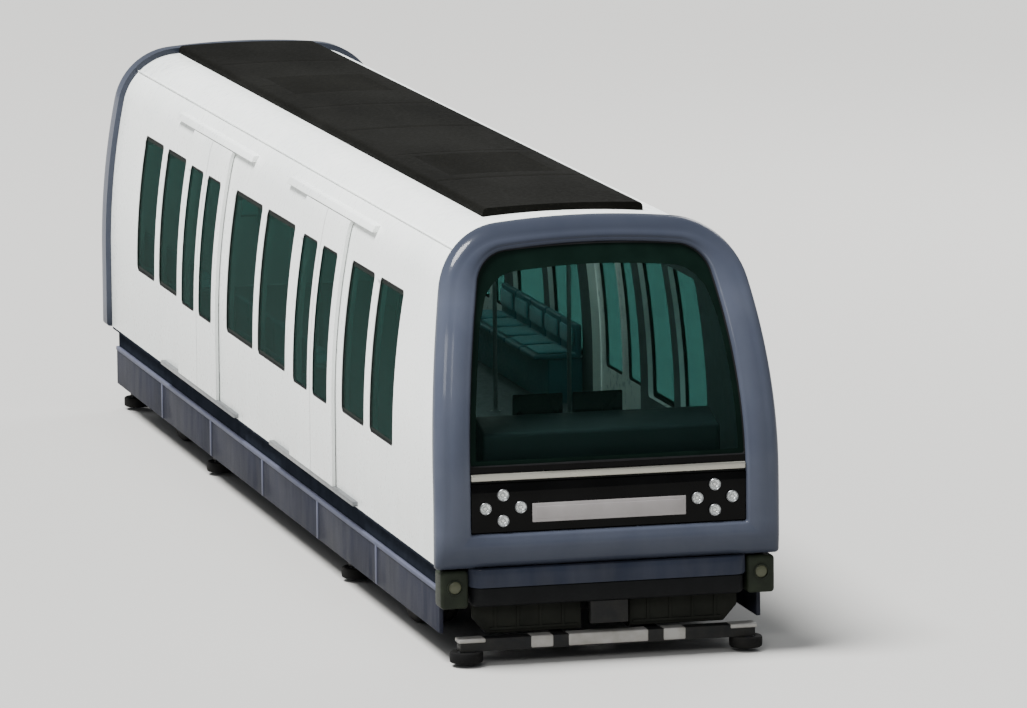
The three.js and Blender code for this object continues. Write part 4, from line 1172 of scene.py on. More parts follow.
# %% Pane shapes
def pane_ring(y0, y1, z0, z1, radius, inset=0.0):
    """The outline of a pane's bounds, moved inwards by the inset."""
    return rounded_rectangle(y0 + inset, y1 - inset, z0 + inset, z1 - inset, max(radius - inset, 0.004))


def within(bounds, gap=0.008):
    """The bounds of the glass inside the bounds of its hole."""
    y0, y1, z0, z1, radius = bounds
    return y0 + gap, y1 - gap, z0 + gap, z1 - gap, radius - 0.006


def dense(ring_points, spacing=0.09):
    """Adds points along the long straight runs of a ring, so that it can bend with the wall."""
    pieces = []
    for a, b in zip(ring_points, np.roll(ring_points, -1, axis=0)):
        count = max(1, int(np.linalg.norm(b - a) / spacing))
        pieces.append(a + (b - a) * np.linspace(0, 1, count, endpoint=False)[:, None])
    return np.concatenate(pieces)


def on_wall(flat, side, offset):
    """Points (y, z) set on the wall's section, this far outside it."""
    return surface(side * BODY.x(flat[..., 1], offset), flat[..., 0], flat[..., 1])


def pane_shape(bounds, side, outer, thickness):
    """Glass between two faces; each face is rings of the outline that shrink to the middle."""
    outline = dense(pane_ring(*bounds))
    middle = outline.mean(0)
    shares = np.linspace(0, 1, 9)[:, None, None]
    face = middle + (outline - middle) * shares
    front, rear = on_wall(face, side, outer), on_wall(face, side, outer - thickness)
    return grid_shape(np.concatenate([front, rear[::-1]]), wrap_cols=True)


def frame_shape(bounds, side, width, high, low, inset=0.0):
    """A flat ring round a pane: from its outline inwards by width, between two offsets from the wall."""
    outer = dense(pane_ring(*bounds, inset))
    inner = dense(pane_ring(*bounds, inset + width))
    if len(outer) != len(inner):
        inner = outer + (outer.mean(0) - outer) * (width / np.abs(outer - outer.mean(0)).max(0))
    corners = ((outer, low), (outer, high), (inner, high), (inner, low))
    return grid_shape(np.stack([on_wall(flat, side, offset) for flat, offset in corners], 1), True, True)


print("a pane's outline has", len(dense(pane_ring(0, 1, PANE_LOW_Z, PANE_HIGH_Z, PANE_ROUND))), "points")

# %% Panes and gaskets
for name, side in SIDES.items():
    for pair, spans in PANES.items():
        bounds = [(PATTERN_Y + a, PATTERN_Y + b, PANE_LOW_Z, PANE_HIGH_Z, PANE_ROUND) for a, b in spans]
        inner = [within(b) for b in bounds]
        panes = joined(*[pane_shape(b, side, -0.010, 0.008) for b in inner])
        added(f"panes_{name}_{pair}", panes, "car", GLASS, [f"window_glass_{name}_{pair}"], sharp=40)
        gaskets = joined(*[frame_shape(b, side, 0.016, -0.004, -0.028, 0.0005) for b in bounds])
        added(f"gaskets_{name}_{pair}", gaskets, "car", SEAL)
        borders = joined(*[frame_shape(b, side, 0.030, -0.0085, -0.0095, 0.006) for b in inner])
        added(f"borders_{name}_{pair}", borders, "car", FRIT)
print("windows", 4 * len(PANES))

# %% [markdown]
# ## Doors
# Each leaf is a panel that hangs outside the wall, with its own window, a rubber nose where it meets its
# partner, and steel runners above and below. It could be cut out of the wall sheet, but the leaf slides
# along it and needs its own faces all round. The same pierced sheet is set a little further out, and every
# part of a leaf rides on the leaf's body, so it moves with the joint.


# %% Door leaves
LEAF_OUT, LEAF_IN = 0.036, 0.008
LEAF_Z = np.concatenate([np.linspace(0.822, 2.7, 24), np.linspace(2.74, 2.996, 9)])
EDGE_Z = np.linspace(0.84, 2.98, 24)
LEAF_GAP, LEAF_WIDTH, LEAF_PANE = 0.006, 0.80, (0.095, 0.63)
LEAVES = [
    (f"{name}_{end}_{leaf}", side, door_y, way)
    for name, side in SIDES.items()
    for end, door_y in DOOR_Y.items()
    for leaf, way in (("a", -1), ("b", 1))
]


def leaf_place(side):
    """Where (y, z) of a leaf's outer face lies on this side of the car."""
    return lambda y, z: on_wall(np.stack([y, z], -1), side, LEAF_OUT)


def leaf_edge(side, y0, y1):
    """The rubber nose of a leaf: four lines up the wall's section, joined into a closed bar."""
    outer, inner = LEAF_OUT - 0.004, LEAF_IN + 0.004
    corners = ((outer, y0), (outer, y1), (inner, y1), (inner, y0))
    lines = [surface(side * BODY.x(EDGE_Z, offset), y, EDGE_Z) for offset, y in corners]
    return grid_shape(np.stack(lines, 1), wrap_cols=True, cap_rows=True)


for leaf, side, door_y, way in LEAVES:
    body = f"door_{leaf}"
    meeting, far = door_y + way * LEAF_GAP, door_y + way * LEAF_WIDTH
    w0, w1 = sorted(door_y + way * reach for reach in LEAF_PANE)
    hole = [(w0, w1, PANE_LOW_Z, PANE_HIGH_Z, PANE_ROUND, PANE_ROUND)]
    sheet = pierced(np.array(sorted((meeting, far))), LEAF_Z, hole, leaf_place(side))
    panel = bevelled(thickened(make(f"leaf_{leaf}", sheet, (side, 0, 0)), LEAF_OUT - LEAF_IN), 0.004)
    finished(panel, body, WHITE, [body])
    bounds = (w0, w1, PANE_LOW_Z, PANE_HIGH_Z, PANE_ROUND)
    glass = pane_shape(within(bounds), side, LEAF_OUT - 0.006, 0.008)
    added(f"leaf_glass_{leaf}", glass, body, GLASS, sharp=40)
    gasket = frame_shape(bounds, side, 0.016, LEAF_OUT - 0.001, LEAF_IN + 0.004, 0.0005)
    added(f"leaf_gasket_{leaf}", gasket, body, SEAL)
    nose = leaf_edge(side, *sorted((meeting, door_y + way * LEAF_GAP / 2)))
    added(f"leaf_edge_{leaf}", nose, body, SEAL)
print("leaves", len(LEAVES))


# %% Door headers, rails and sills
def wall_strip(side, y0, y1, z0, z1, inner, outer, count=6):
    """A strip along the wall between two heights and two offsets."""
    z = np.linspace(z0, z1, count)
    outline = np.concatenate([
        np.stack([side * BODY.x(z, outer), z], 1),
        np.stack([side * BODY.x(z[::-1], inner), z[::-1]], 1),
    ])
    return along_y(outline, y0, y1)


HEADER_HALF, SILL_HALF, SILL_X = 1.56, 0.76, 1.29
HEADER_Z, RAIL_Z, RUNNER_OFFSETS = (3.004, 3.060), (0.786, 0.8217), (-0.035, 0.042)
for name, side in SIDES.items():
    for end, door_y in DOOR_Y.items():
        run = (door_y - HEADER_HALF, door_y + HEADER_HALF)
        header = wall_strip(side, *run, *HEADER_Z, *RUNNER_OFFSETS)
        rail = wall_strip(side, *run, *RAIL_Z, *RUNNER_OFFSETS, 3)
        finished(bevelled(make(f"door_header_{name}_{end}", header), 0.006, 3), "car", WHITE)
        finished(bevelled(make(f"door_rail_{name}_{end}", rail), 0.003), "car", STEEL)
        low = (side * SILL_X - 0.04, door_y - SILL_HALF, 1.0985)
        high = (side * SILL_X + 0.034, door_y + SILL_HALF, 1.104)
        added(f"door_sill_{name}_{end}", block(low, high, 0.002), "car", STEEL)
print("doorways", 2 * len(DOOR_Y))

# %% [markdown]
# ## Skirts
# Below the white wall the photograph shows a dark gap, a pale ledge, and slate panels with upright strips.
# One long box with a normal map could stand for them. Separate blocks with rounded edges give real gaps
# between the panels, and gaps are what makes them read as panels in low light.


# %% Skirts
SKIRT_FRONT_Y, SKIRT_REAR_Y = FRONT_Y + 0.32, BODY_REAR_Y - 0.02
PANEL_EDGES = np.linspace(SKIRT_FRONT_Y, SKIRT_REAR_Y, 7)
PANEL_GAP, STRIP_WIDTH = 0.008, 0.056
backing = block((1.2555, SKIRT_FRONT_Y, 0.53), (1.268, SKIRT_REAR_Y, 0.7445), 0.004)
ledge = block((1.262, SKIRT_FRONT_Y, 0.545), (1.298, SKIRT_REAR_Y, 0.585), 0.010, 4)
panels = joined(*[
    block((1.256, a + PANEL_GAP / 2, 0.230), (1.2915, b - PANEL_GAP / 2, 0.552), 0.008, 3)
    for a, b in zip(PANEL_EDGES[:-1], PANEL_EDGES[1:])
])
cover = block((1.286, -STRIP_WIDTH / 2, 0.236), (1.2985, STRIP_WIDTH / 2, 0.556), 0.005, 2)
strips = copies(cover, [(0, y, 0) for y in PANEL_EDGES[1:-1]])
wall_foot = block((1.268, SKIRT_FRONT_Y, 0.746), (1.322, BODY_REAR_Y - 0.004, 0.7698), 0.004)
for name, side in SIDES.items():
    for part, shape, finish, replaces in (
        ("skirt_backing", backing, RECESS, ()),
        ("skirt_ledge", ledge, LEDGE_SLATE, ()),
        ("skirt_panels", panels, SKIRT_SLATE, [f"skirt_{name}"]),
        ("skirt_strips", strips, LEDGE_SLATE, ()),
        ("wall_foot", wall_foot, RECESS, ()),
    ):
        added(f"{part}_{name}", mirrored(shape, side), "car", finish, replaces)
print("skirt panels", len(PANEL_EDGES) - 1)

# %% [markdown]
# ## Wheels
# A tyre is a fat rubber ring with four grooves, on a dished steel wheel with ten bolts. The grooves could
# come from a bump texture, which would leave the tyre's outline smooth. Here they are part of the section
# that is turned about the axle, so they are real, and the mirrored wheel serves the other side.


# %% Tyres and rims
WHEEL_X, WHEEL_RADIUS = 0.95, 0.475


def tyre_profile(half=0.17, out=WHEEL_RADIUS, seat=0.2905):
    """Closed section of (radius, along): tread with four grooves, rounded shoulders, bulging sidewalls."""
    tread = []
    for along in np.linspace(-0.118, 0.118, 5):
        tread += [(out, along - 0.016)] if along > -0.118 else [(out - 0.004, -0.132)]
        tread += [(out - 0.0005, along - 0.007), (out - 0.012, along - 0.005)]
        tread += [(out - 0.012, along + 0.005), (out - 0.0005, along + 0.007)]
    tread += [(out - 0.004, 0.132)]
    side = [
        (out - 0.016, 0.150), (out - 0.045, 0.164), (out - 0.085, half), (out - 0.125, half - 0.004),
        (seat + 0.022, half - 0.020), (seat, half - 0.026),
    ]
    return np.array([(r, -a) for r, a in side[::-1]] + tread + side)


wheel_section = [
    (0.0, 0.150), (0.085, 0.150), (0.092, 0.142), (0.098, 0.112), (0.125, 0.105), (0.150, 0.085),
    (0.215, 0.060), (0.245, 0.078), (0.262, 0.120), (0.272, 0.140), (0.288, 0.140), (0.2895, 0.132),
    (0.2895, -0.132),
    (0.285, -0.140), (0.262, -0.140), (0.258, -0.08), (0.10, -0.10), (0.095, -0.145), (0.0, -0.145),
]
bolt = turned([(0.0, 0.022), (0.013, 0.022), (0.0155, 0.018), (0.0155, 0.0), (0.0, 0.0)], ORIGIN, "x", 6)
BOLTS, BOLT_CIRCLE = 10, 0.172
bolt_turns = np.arange(BOLTS) * 2 * np.pi / BOLTS
bolts = copies(bolt, [(0.082, BOLT_CIRCLE * math.cos(a), BOLT_CIRCLE * math.sin(a)) for a in bolt_turns])
disc = joined(turned(wheel_section, ORIGIN, "x", 64), bolts)
for end, axle_y in AXLE_Y.items():
    for name, side in SIDES.items():
        centre = (side * WHEEL_X, axle_y, WHEEL_RADIUS)
        body = f"wheel_{end}_{name}"
        tyre = ring(tyre_profile(), centre, "x", 72)
        added(f"road_tyre_{end}_{name}", tyre, body, TYRE_RUBBER, [f"tyre_{end}_{name}"])
        wheel = moved(mirrored(disc, side), centre)
        added(f"wheel_disc_{end}_{name}", wheel, body, RIM_STEEL, [f"rim_{end}_{name}"])
print("tyre faces", len(tyre[1]))

# %% [markdown]
# ## Guide wheels and bogies
# A guide wheel is a solid rubber tyre on a steel hub with a cap and bolts; it lies flat and steers the
# bogie. The bogie keeps its CAD form, because its beams are plain; rounded edges are all that the form
# lacked. Its guide bars carry light-grey covers, as the pale bar under the photographed front. Each spring
# could be a screw modifier. A round bar along a helix formula needs no modifier.


# %% Guide wheels
GUIDE_X, GUIDE_LOW_Z = 1.12, 0.03
guide_tyre = [
    (0.072, 0.004), (0.118, 0.0), (0.1265, 0.006), (0.13, 0.018),
    (0.13, 0.070), (0.1265, 0.082), (0.118, 0.0877), (0.072, 0.084),
]
guide_hub = [
    (0.0, 0.010), (0.030, 0.008), (0.036, 0.016), (0.066, 0.018), (0.0715, 0.010),
    (0.0715, 0.078), (0.060, 0.080), (0.040, 0.0865), (0.0, 0.0875),
]
small_bolt = turned([(0.0, 0.0), (0.006, 0.0), (0.0072, 0.002), (0.0072, 0.008), (0.0, 0.008)], ORIGIN, "z", 6)
HUB_BOLTS, HUB_CIRCLE = 6, 0.052
bolt_turns = np.arange(HUB_BOLTS) * 2 * np.pi / HUB_BOLTS
bolts = copies(small_bolt, [(HUB_CIRCLE * math.cos(a), HUB_CIRCLE * math.sin(a), 0.0105) for a in bolt_turns])
hub = joined(turned(guide_hub, ORIGIN, "z", 40), bolts)
GUIDES = [
    (f"{end}_{name}_{place}", (side * GUIDE_X, axle_y + way * GUIDE_REACH, GUIDE_LOW_Z))
    for end, axle_y in AXLE_Y.items()
    for name, side in SIDES.items()
    for place, way in (("a", -1), ("b", 1))
]
for place, at in GUIDES:
    node = f"guide_wheel_{place}"
    added(f"guide_tyre_{place}", ring(guide_tyre, at, "z", 48), node, GUIDE_RUBBER, [node])
    added(f"guide_hub_{place}", moved(hub, at), node, RIM_STEEL)
print("guide wheels", len(GUIDES))

# %% Bogies
COIL_TURN = np.linspace(0, 2 * np.pi * 5, 120)
COIL_RADIUS, COIL_Z, COIL_RISE = 0.075, 0.575, 0.2
for end, axle_y in AXLE_Y.items():
    body = f"bogie_{end}"
    softened(f"bogie_{end}", f"bogie_frame_{end}", 0.008, body, FRAME_BLACK)
    covers = []
    for way in (-1, 1):
        y = axle_y + way * GUIDE_REACH
        for x0, x1 in ((-0.32, 0.32), (-0.62, -0.44), (0.44, 0.62)):
            covers.append(block((x0, y - 0.066, 0.124), (x1, y + 0.066, 0.2195), 0.012, 4))
        for x0, x1 in ((-1.195, -0.98), (0.98, 1.195)):
            covers.append(block((x0, y - 0.066, 0.186), (x1, y + 0.066, 0.2195), 0.010, 3))
    added(f"guide_bar_covers_{end}", joined(*covers), body, BAR_GREY)
    height = COIL_Z + COIL_RISE * COIL_TURN / COIL_TURN[-1]
    coil = surface(COIL_RADIUS * np.cos(COIL_TURN), COIL_RADIUS * np.sin(COIL_TURN), height)
    cup = block((-0.1, -0.1, COIL_Z - 0.02), (0.1, 0.1, COIL_Z), 0.006)
    spring = joined(tube(coil, 0.014, 8), cup)
    springs = copies(spring, [(side * 0.52, axle_y, 0) for side in (-1, 1)])
    added(f"bogie_springs_{end}", springs, body, RIM_STEEL)
print("bogies", len(AXLE_Y))

# %% [markdown]
# ## Underframe and couplers
# Under the floor run the sole bars and bolsters, and three equipment cases hang on each side. The CAD
# members are kept, copied and given rounded edges, because rebuilding them would only repeat their sizes.
# The cases get doors with louvres, each slat a block of its own, since a row of thin shadows is what one
# sees of them.


# %% Underframe
softened("underframe", "underframe_members", 0.006, "car", UNDERGEAR)
CASES = ((-2.35, -0.95, 0.42), (-0.78, 0.62, 0.38), (0.80, 2.35, 0.44))
louvres, doors = [], []
for side in (-1, 1):
    for y0, y1, low in CASES:
        a, b = MID_Y + y0 + 0.06, MID_Y + y1 - 0.06
        doors.append(mirrored(block((1.078, a, low + 0.05), (1.094, b, 0.90), 0.005), side))
        for z in np.arange(low + 0.14, 0.66, 0.045):
            slat = block((1.09, a + 0.12, z), (1.104, b - 0.12, z + 0.018), 0.004, 2)
            louvres.append(mirrored(slat, side))
added("case_doors", joined(*doors), "car", UNDERGEAR)
added("case_louvres", joined(*louvres), "car", FRAME_BLACK)
print("louvre slats", len(louvres))

# %% Couplers
for end, face_y, way in (("front", FRONT_Y + 0.06, 1), ("rear", 6.775, -1)):
    softened(f"coupler_{end}", f"coupler_head_{end}", 0.006, "car", FRAME_BLACK)
    section = [(0.0, 0.0), (0.012, 0.0), (0.014, way * 0.003), (0.014, way * 0.05), (0.0, way * 0.05)]
    corners = [(x, face_y + way * 0.004, z) for x in (-0.125, 0.125) for z in (0.32, 0.445)]
    added(f"coupler_bolts_{end}", copies(turned(section, ORIGIN, "y", 6), corners), "car", STEEL)
print("couplers", len(ENDS))

# %% [markdown]
# ## Rear end
# The end wall has a hinged door with a window and a seal, two round tail lamps and two grips. Wall and door
# keep their CAD form with softened edges. The wall's rim is drawn in by less than one per cent, so that it
# doesn't share a face with the hoop around it: two faces in one place flicker. Grips could be curve
# objects; a tube along six points is as round and lands where the formula says.

# %% Rear wall and end door
end_wall = softened("rear_wall", "end_wall", 0.003, "car", WHITE)
RIM_SCALE, RIM_MIDDLE = (0.992, 1, 0.992), (0, 0, 2.0)
points = np.empty(3 * len(end_wall.data.vertices))
end_wall.data.vertices.foreach_get("co", points)
points = points.reshape(-1, 3)
rim = (np.abs(points[:, 0]) > 0.95) | (points[:, 2] > 3.05)
points[rim] = (points[rim] - RIM_MIDDLE) * RIM_SCALE + RIM_MIDDLE
end_wall.data.vertices.foreach_set("co", points.ravel())
end_wall.data.update()
softened("rear_door", "end_door", 0.004, "rear_door", WHITE)
print("end wall", len(end_wall.data.polygons), "faces")


# %% Door glass and grip
DOOR_FACE_Y = BODY_REAR_Y - 0.002


def upright_pane(x0, x1, z0, z1, radius, y0, y1):
    """A flat pane with round corners between two depths: rings of its outline that shrink to the middle."""
    outline = rounded_rectangle(x0, x1, z0, z1, radius)
    middle = outline.mean(0)
    face = middle + (outline - middle) * np.linspace(0, 1, 3)[:, None, None]
    front, rear = surface(face[..., 0], y0, face[..., 1]), surface(face[..., 0], y1, face[..., 1])
    return grid_shape(np.concatenate([front, rear[::-1]]), wrap_cols=True)


def upright_frame(x0, x1, z0, z1, radius, width, y0, y1):
    """A flat ring with round corners between two depths."""
    outer = rounded_rectangle(x0, x1, z0, z1, radius)
    inner = rounded_rectangle(x0 + width, x1 - width, z0 + width, z1 - width, max(radius - width, 0.003))
    corners = ((outer, y0), (outer, y1), (inner, y1), (inner, y0))
    return grid_shape(np.stack([surface(flat[:, 0], y, flat[:, 1]) for flat, y in corners], 1), True, True)


def hand_rail(x, z0, z1, reach, bend, radius):
    """A round grip that leaves the wall, turns upright at this reach, and comes back: points (x, out, z)."""
    out = np.array([0.0, reach - bend[0], reach, reach, reach - bend[0], 0.0])
    up = np.array([z0, z0 + 0.005, z0 + bend[1], z1 - bend[2], z1 - 0.005, z1])
    return tube(surface(x, out + BODY_REAR_Y, up), radius)


pane = upright_pane(-0.246, 0.246, 1.754, 2.796, 0.041, DOOR_FACE_Y - 0.028, DOOR_FACE_Y - 0.020)
added("end_door_glass", pane, "rear_door", GLASS)
gasket = upright_frame(
    -0.2495, 0.2495, 1.7505, 2.7995, 0.0445, 0.016, DOOR_FACE_Y - 0.032, DOOR_FACE_Y + 0.003
)
added("end_door_gasket", gasket, "rear_door", SEAL)
grip = moved(hand_rail(0.300, 1.95, 2.225, 0.048, (0.013, 0.025, 0.025), 0.009), (0, -0.004, 0))
added("end_door_grip", grip, "rear_door", STEEL)
print("end door glass", len(pane[1]), "faces")

# %% Tail lamps and grips
TAIL_X, TAIL_Z, GRIP_X = 0.95, 1.25, 0.62
tail_rim = [(0.075, -0.012), (0.075, 0.004), (0.071, 0.008), (0.066, 0.008), (0.063, -0.012)]
tail_lens = [(0.0, 0.010), (0.03, 0.009), (0.055, 0.004), (0.063, -0.002), (0.063, -0.010), (0.0, -0.010)]
for name, side in SIDES.items():
    at = (side * TAIL_X, BODY_REAR_Y + 0.014, TAIL_Z)
    added(f"tail_lamp_rim_{name}", ring(tail_rim, at, "y", 36), "car", STEEL)
    added(f"tail_lamp_{name}", turned(tail_lens, at, "y", 36), "car", TAIL_RED)
    bar = moved(hand_rail(side * GRIP_X, 1.3, 2.03, 0.055, (0.015, 0.03, 0.03), 0.014), (0, -0.001, 0))
    added(f"end_grip_{name}", bar, "car", STEEL)
print("tail lamps", len(SIDES))

# %% [markdown]
# ## Saloon
# Behind the glass stand the floor, poles with foot rings and collars, rails under the ceiling, two ceiling
# lights, and the driving console. Dark glass would hide an empty room, yet the light lines and poles that
# show through it are what makes a car look real. Poles could be cylinders joined in edit mode; tubes along
# two points and turned sections do the same in a loop. The lights glow by themselves, as lit diffusers do.

# %% Floor and poles
painted("floor", VINYL)
POLE_X, BAR_Z, POLE_RADIUS = 0.42, 2.95, 0.018
CROSSINGS = (-3.9, -1.45, 1.45, 3.9)
ceiling_z = BODY.crown_z + math.sqrt((BODY.crown_radius - 0.07) ** 2 - POLE_X**2)
foot_section = [(0.0, 0.0), (0.045, 0.0), (0.045, 0.005), (0.028, 0.010), (0.022, 0.022), (0.0, 0.022)]
collar_section = [(0.017, -0.02), (0.024, -0.018), (0.026, 0.0), (0.024, 0.018), (0.017, 0.02)]
poles = []
for x in (-POLE_X, POLE_X):
    poles.append(tube([(x, PATTERN_Y - 3.9, BAR_Z), (x, PATTERN_Y + 3.9, BAR_Z)], POLE_RADIUS, 20))
    for y in PATTERN_Y + np.array(CROSSINGS):
        poles.append(tube([(x, y, FLOOR_Z), (x, y, ceiling_z - 0.003)], POLE_RADIUS, 20))
        poles.append(turned(foot_section, (x, y, FLOOR_Z), "z", 24))
        poles.append(ring(collar_section, (x, y, BAR_Z - 0.045), "z", 24))
for y in PATTERN_Y + np.array(CROSSINGS):
    poles.append(tube([(-POLE_X, y, BAR_Z), (POLE_X, y, BAR_Z)], POLE_RADIUS, 20))
added("poles", joined(*poles), "car", STEEL, ["grab_poles"])
print("pole parts", len(poles))

# %% Ceiling lights
diffuser = Finish("ceiling_light", "F4F5F0", 0.5, emission_color=(1.0, 0.98, 0.93, 1.0), emission_strength=5.0)
diffuser.set_roughness(diffuser.ranged(diffuser.noise(30.0), 0.3, 0.7, 0.45, 0.6))
for name, side in SIDES.items():
    low = ceiling_z - 0.045
    light = block((0.55, PATTERN_Y - 5.2, low), (0.69, PATTERN_Y + 5.6, low + 0.03), 0.012)
    added(f"ceiling_light_{name}", mirrored(light, side), "car", diffuser.material)
print("ceiling lights", len(SIDES))

# %% [markdown]
# ## Cushions
# A seat cushion is foam in a tight woven cover: its top is crowned, and its sides pull in between the
# corners. It could be one more formula, or be sculpted by hand. Cloth under inner pressure finds the
# tension of a real cover by itself, so one seat pad and one back pad start as thin closed forms and are
# blown up. Remeshing first gives the cloth even quads. How far a point may move is capped, and each pad
# lies flat where it meets its shell.


# %% Starting form of a cushion
def pillow(low, high, pull=0.0, count=14):
    """Superellipsoid of power six between two corners; its sides are pulled in by this much at mid-length."""
    low, high = np.asarray(low, float), np.asarray(high, float)
    centre, half = (low + high) / 2, (high - low) / 2
    up = np.linspace(-np.pi / 2, np.pi / 2, count)
    turn = np.linspace(0, 2 * np.pi, 4 * count, endpoint=False)

    def power(value, exponent=0.33):
        """A power that keeps the sign."""
        return np.sign(value) * np.abs(value) ** exponent

    x = power(np.cos(up))[:, None] * power(np.cos(turn))
    y = power(np.cos(up))[:, None] * power(np.sin(turn))
    z = power(np.sin(up))[:, None] + 0 * x
    shrink = 1 - pull / half[0] * (1 - y**2) * (1 - np.abs(z))
    return grid_shape(centre + half * np.stack([x * shrink, y, z], -1), wrap_cols=True, cap_rows=True)


print("a pillow has", len(pillow((0, 0, 0), (1, 1, 1))[1]), "faces")

# %% Cloth under pressure
VOXEL, PRESSURE, FRAMES, STIFFNESS = 0.008, 4.0, 20, 8.0


def read_shape(piece):
    """Points and faces of a piece as its modifiers leave it."""
    seen = piece.evaluated_get(bpy.context.evaluated_depsgraph_get())
    mesh = seen.to_mesh()
    points = np.empty(3 * len(mesh.vertices))
    mesh.vertices.foreach_get("co", points)
    faces = [tuple(polygon.vertices) for polygon in mesh.polygons]
    seen.to_mesh_clear()
    return points.reshape(-1, 3), faces


def taken(piece):
    """The same, and the piece itself goes."""
    shape = read_shape(piece)
    bpy.data.objects.remove(piece)
    return shape


def calmed(piece, rounds):
    """Each point goes halfway to the mean of its neighbours, this many times."""
    calm = piece.modifiers.new("calm", "SMOOTH")
    calm.factor, calm.iterations = 0.5, rounds
    return piece


def blown_up(name, shape, cap):
    """A pad as cloth: even quads, then inner pressure without gravity, then a capped way of each point.

    A way becomes cap * (1 - exp(-way / (4 * cap))) long, so the middle of the pad stands proudest."""
    piece = make(name, shape)
    even = piece.modifiers.new("even", "REMESH")
    even.mode, even.voxel_size = "VOXEL", VOXEL
    piece = make(name, taken(calmed(piece, 12)))
    cloth = piece.modifiers.new("cloth", "CLOTH")
    cloth.settings.use_pressure = True
    cloth.settings.uniform_pressure_force = PRESSURE
    cloth.settings.effector_weights.gravity = 0.0
    cloth.settings.tension_stiffness = cloth.settings.compression_stiffness = STIFFNESS
    cloth.point_cache.frame_end = FRAMES
    start, faces = read_shape(piece)
    for number in range(1, FRAMES + 1):
        scene.frame_set(number)
    way = taken(piece)[0] - start
    scene.frame_set(1)
    length = np.linalg.norm(way, axis=1)[:, None]
    capped = way * cap * (1 - np.exp(-length / (4 * cap))) / np.maximum(length, 1e-9)
    print(name, "swollen by up to", round(float(length.max()), 4), "m, kept up to", cap, "m")
    return taken(calmed(make(name, (start + capped, faces)), 30))


# %% The two pads
PAD_LENGTH = 0.472
SHELL_TOP_Z, SHELL_BACK_X = 1.5275, 1.1665
seat_form = pillow((0.822, 0.007, 1.531), (1.143, PAD_LENGTH - 0.007, 1.549), 0.004)
back_form = pillow((1.144, 0.007, 1.573), (1.160, PAD_LENGTH - 0.007, 1.757))
seat_pad = blown_up("seat_pad_model", seat_form, 0.016)
back_pad = blown_up("back_pad_model", back_form, 0.014)
seat_pad[0][:, 2] = np.clip(seat_pad[0][:, 2], SHELL_TOP_Z, None)
back_pad[0][:, 0] = np.clip(back_pad[0][:, 0], None, SHELL_BACK_X)
for name, pad in (("seat pad", seat_pad), ("back pad", back_pad)):
    print(name, "measures", np.round(np.ptp(pad[0], axis=0), 3).tolist())

# %% [markdown]
# ## Benches
# The real benches are moulded shells on a closed plinth, side by side along the wall. They could be one
# long form, but single shells show the gaps between seats. The same loop sets both pads on each shell.

# %% Benches
SEAT_PITCH, SEAT_GAP, PAD_INSET = 0.47, 0.016, 0.012
BENCHES = {"middle": (-1.28, 1.28), "rear": (3.25, 5.35)}
for name, side in SIDES.items():
    for bench, (start, stop) in BENCHES.items():
        count = int((stop - start) / SEAT_PITCH)
        pitch = (stop - start) / count
        stretch = (pitch - SEAT_GAP - 2 * PAD_INSET) / PAD_LENGTH
        shells, cushions = [], []
        for k in range(count):
            y0 = PATTERN_Y + start + k * pitch + SEAT_GAP / 2
            y1 = y0 + pitch - SEAT_GAP
            seat = block((0.80, y0, 1.485), (1.215, y1, 1.53), 0.018, 4)
            back_rest = block((1.165, y0, 1.50), (1.22, y1, 1.775), 0.018, 4)
            shells += [mirrored(seat, side), mirrored(back_rest, side)]
            for points, faces in (seat_pad, back_pad):
                cushions.append(mirrored((points * (1, stretch, 1) + (0, y0 + PAD_INSET, 0), faces), side))
        plinth = block((0.93, PATTERN_Y + start + 0.03, FLOOR_Z), (1.235, PATTERN_Y + stop - 0.03, 1.49), 0.02)
        shells.append(mirrored(plinth, side))
        bench_node = f"bench_{name}_{bench}"
        added(f"seat_shells_{name}_{bench}", joined(*shells), "car", SEAT_SHELL, [bench_node])
        pads = make(f"seat_pads_{name}_{bench}", joined(*cushions))
        finished(pads, "car", SEAT_CLOTH, sharp=60)
print("benches", 2 * len(BENCHES))

# %% [markdown]
# ## Console
# The driving console is a moulded desk with two black screens on short posts. It keeps its CAD form with
# broad soft edges. Screens could be drawn on it, but blocks with a little depth catch the light from above.

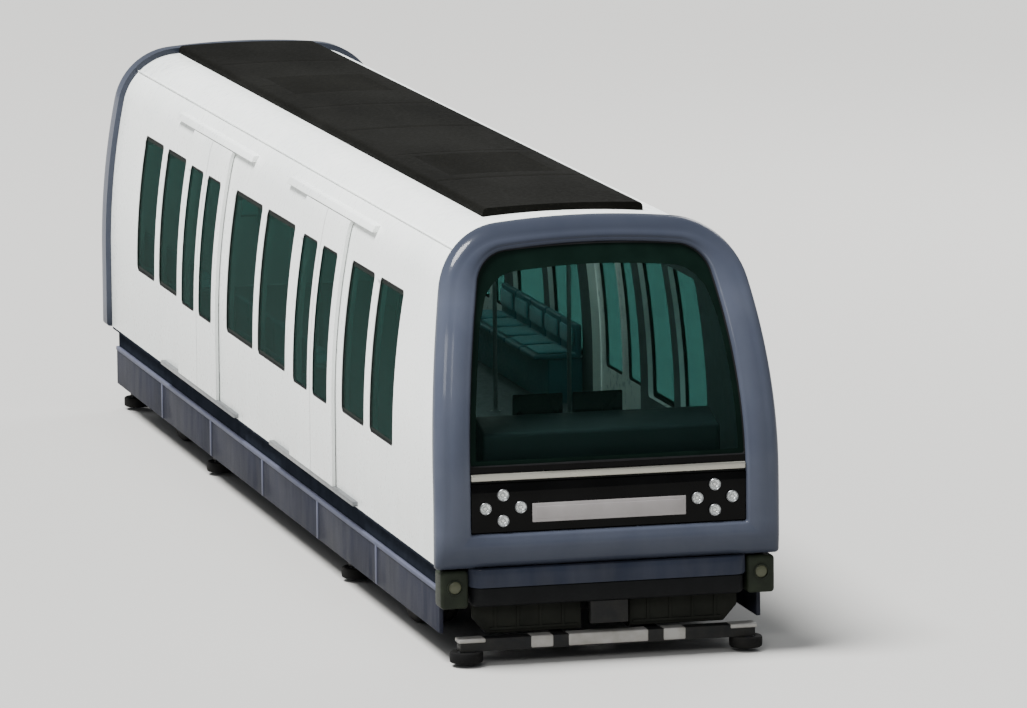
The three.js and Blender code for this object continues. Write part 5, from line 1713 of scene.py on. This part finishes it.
# %% Console
SCREENS_Y = FRONT_Y + 0.60
softened("console", "console_body", 0.03, "car", CONSOLE, 3)
screens = joined(
    *[block((x, SCREENS_Y, 1.80), (x + 0.40, SCREENS_Y + 0.025, 2.02), 0.008) for x in (-0.62, -0.14)],
    *[block((x, SCREENS_Y - 0.02, 1.74), (x + 0.08, SCREENS_Y + 0.04, 1.84), 0.008) for x in (-0.46, 0.02)],
)
added("console_screens", screens, "car", BLACK)
print("console screens", len(screens[1]), "faces")

# %% [markdown]
# ## Floor and light
# A pale floor that reaches past the view, a soft sky, a low broad sun and two area lamps. The key stands to
# the left of the front and high, where the photograph's light comes from. A sky texture could light it all,
# but then the side would go as dark as its shadow; two fills keep the form readable without a second hard
# shadow.

# %% Studio
ground = Finish("studio_floor", "A3A29F", 0.9, specular_ior_level=0.1)
ground.set_roughness(ground.ranged(ground.noise(1.6), 0.3, 0.7, 0.88, 0.94))
reach = np.linspace(-260, 260, 5)
gx, gy = np.meshgrid(reach, reach, indexing="ij")
floor = make("studio_floor", grid_shape(np.stack([gx, gy, 0 * gx - 0.0005], -1)))
floor.data.materials.append(ground.material)

world = bpy.data.worlds.new("studio_sky")
world.use_nodes = True
world.node_tree.nodes["Background"].inputs["Color"].default_value = (0.86, 0.90, 0.96, 1)
world.node_tree.nodes["Background"].inputs["Strength"].default_value = 0.45
scene.world = world


def softbox(name, place, target, size, power):
    """A broad lamp that shines from its place to the target."""
    data = bpy.data.lights.new(name, "AREA")
    data.shape, data.size, data.size_y, data.energy = "RECTANGLE", size[0], size[1], power
    lamp = bpy.data.objects.new(name, data)
    scene.collection.objects.link(lamp)
    lamp.location = place
    lamp.rotation_mode = "QUATERNION"
    lamp.rotation_quaternion = (Vector(place) - Vector(target)).to_track_quat("Z", "Y")


sky_lamp = bpy.data.lights.new("key", "SUN")
sky_lamp.energy, sky_lamp.angle = 11.0, math.radians(24)
key = bpy.data.objects.new("key", sky_lamp)
scene.collection.objects.link(key)
key.rotation_mode = "QUATERNION"
key.rotation_quaternion = Vector((-9, 1, 25)).to_track_quat("Z", "Y")
softbox("front_fill", (-9, -24, 12), (0, -6, 1.8), (8, 6), 2000)
softbox("rear_fill", (16, 18, 16), (0, 2, 2), (10, 8), 3500)
print("lights", len(bpy.data.lights))
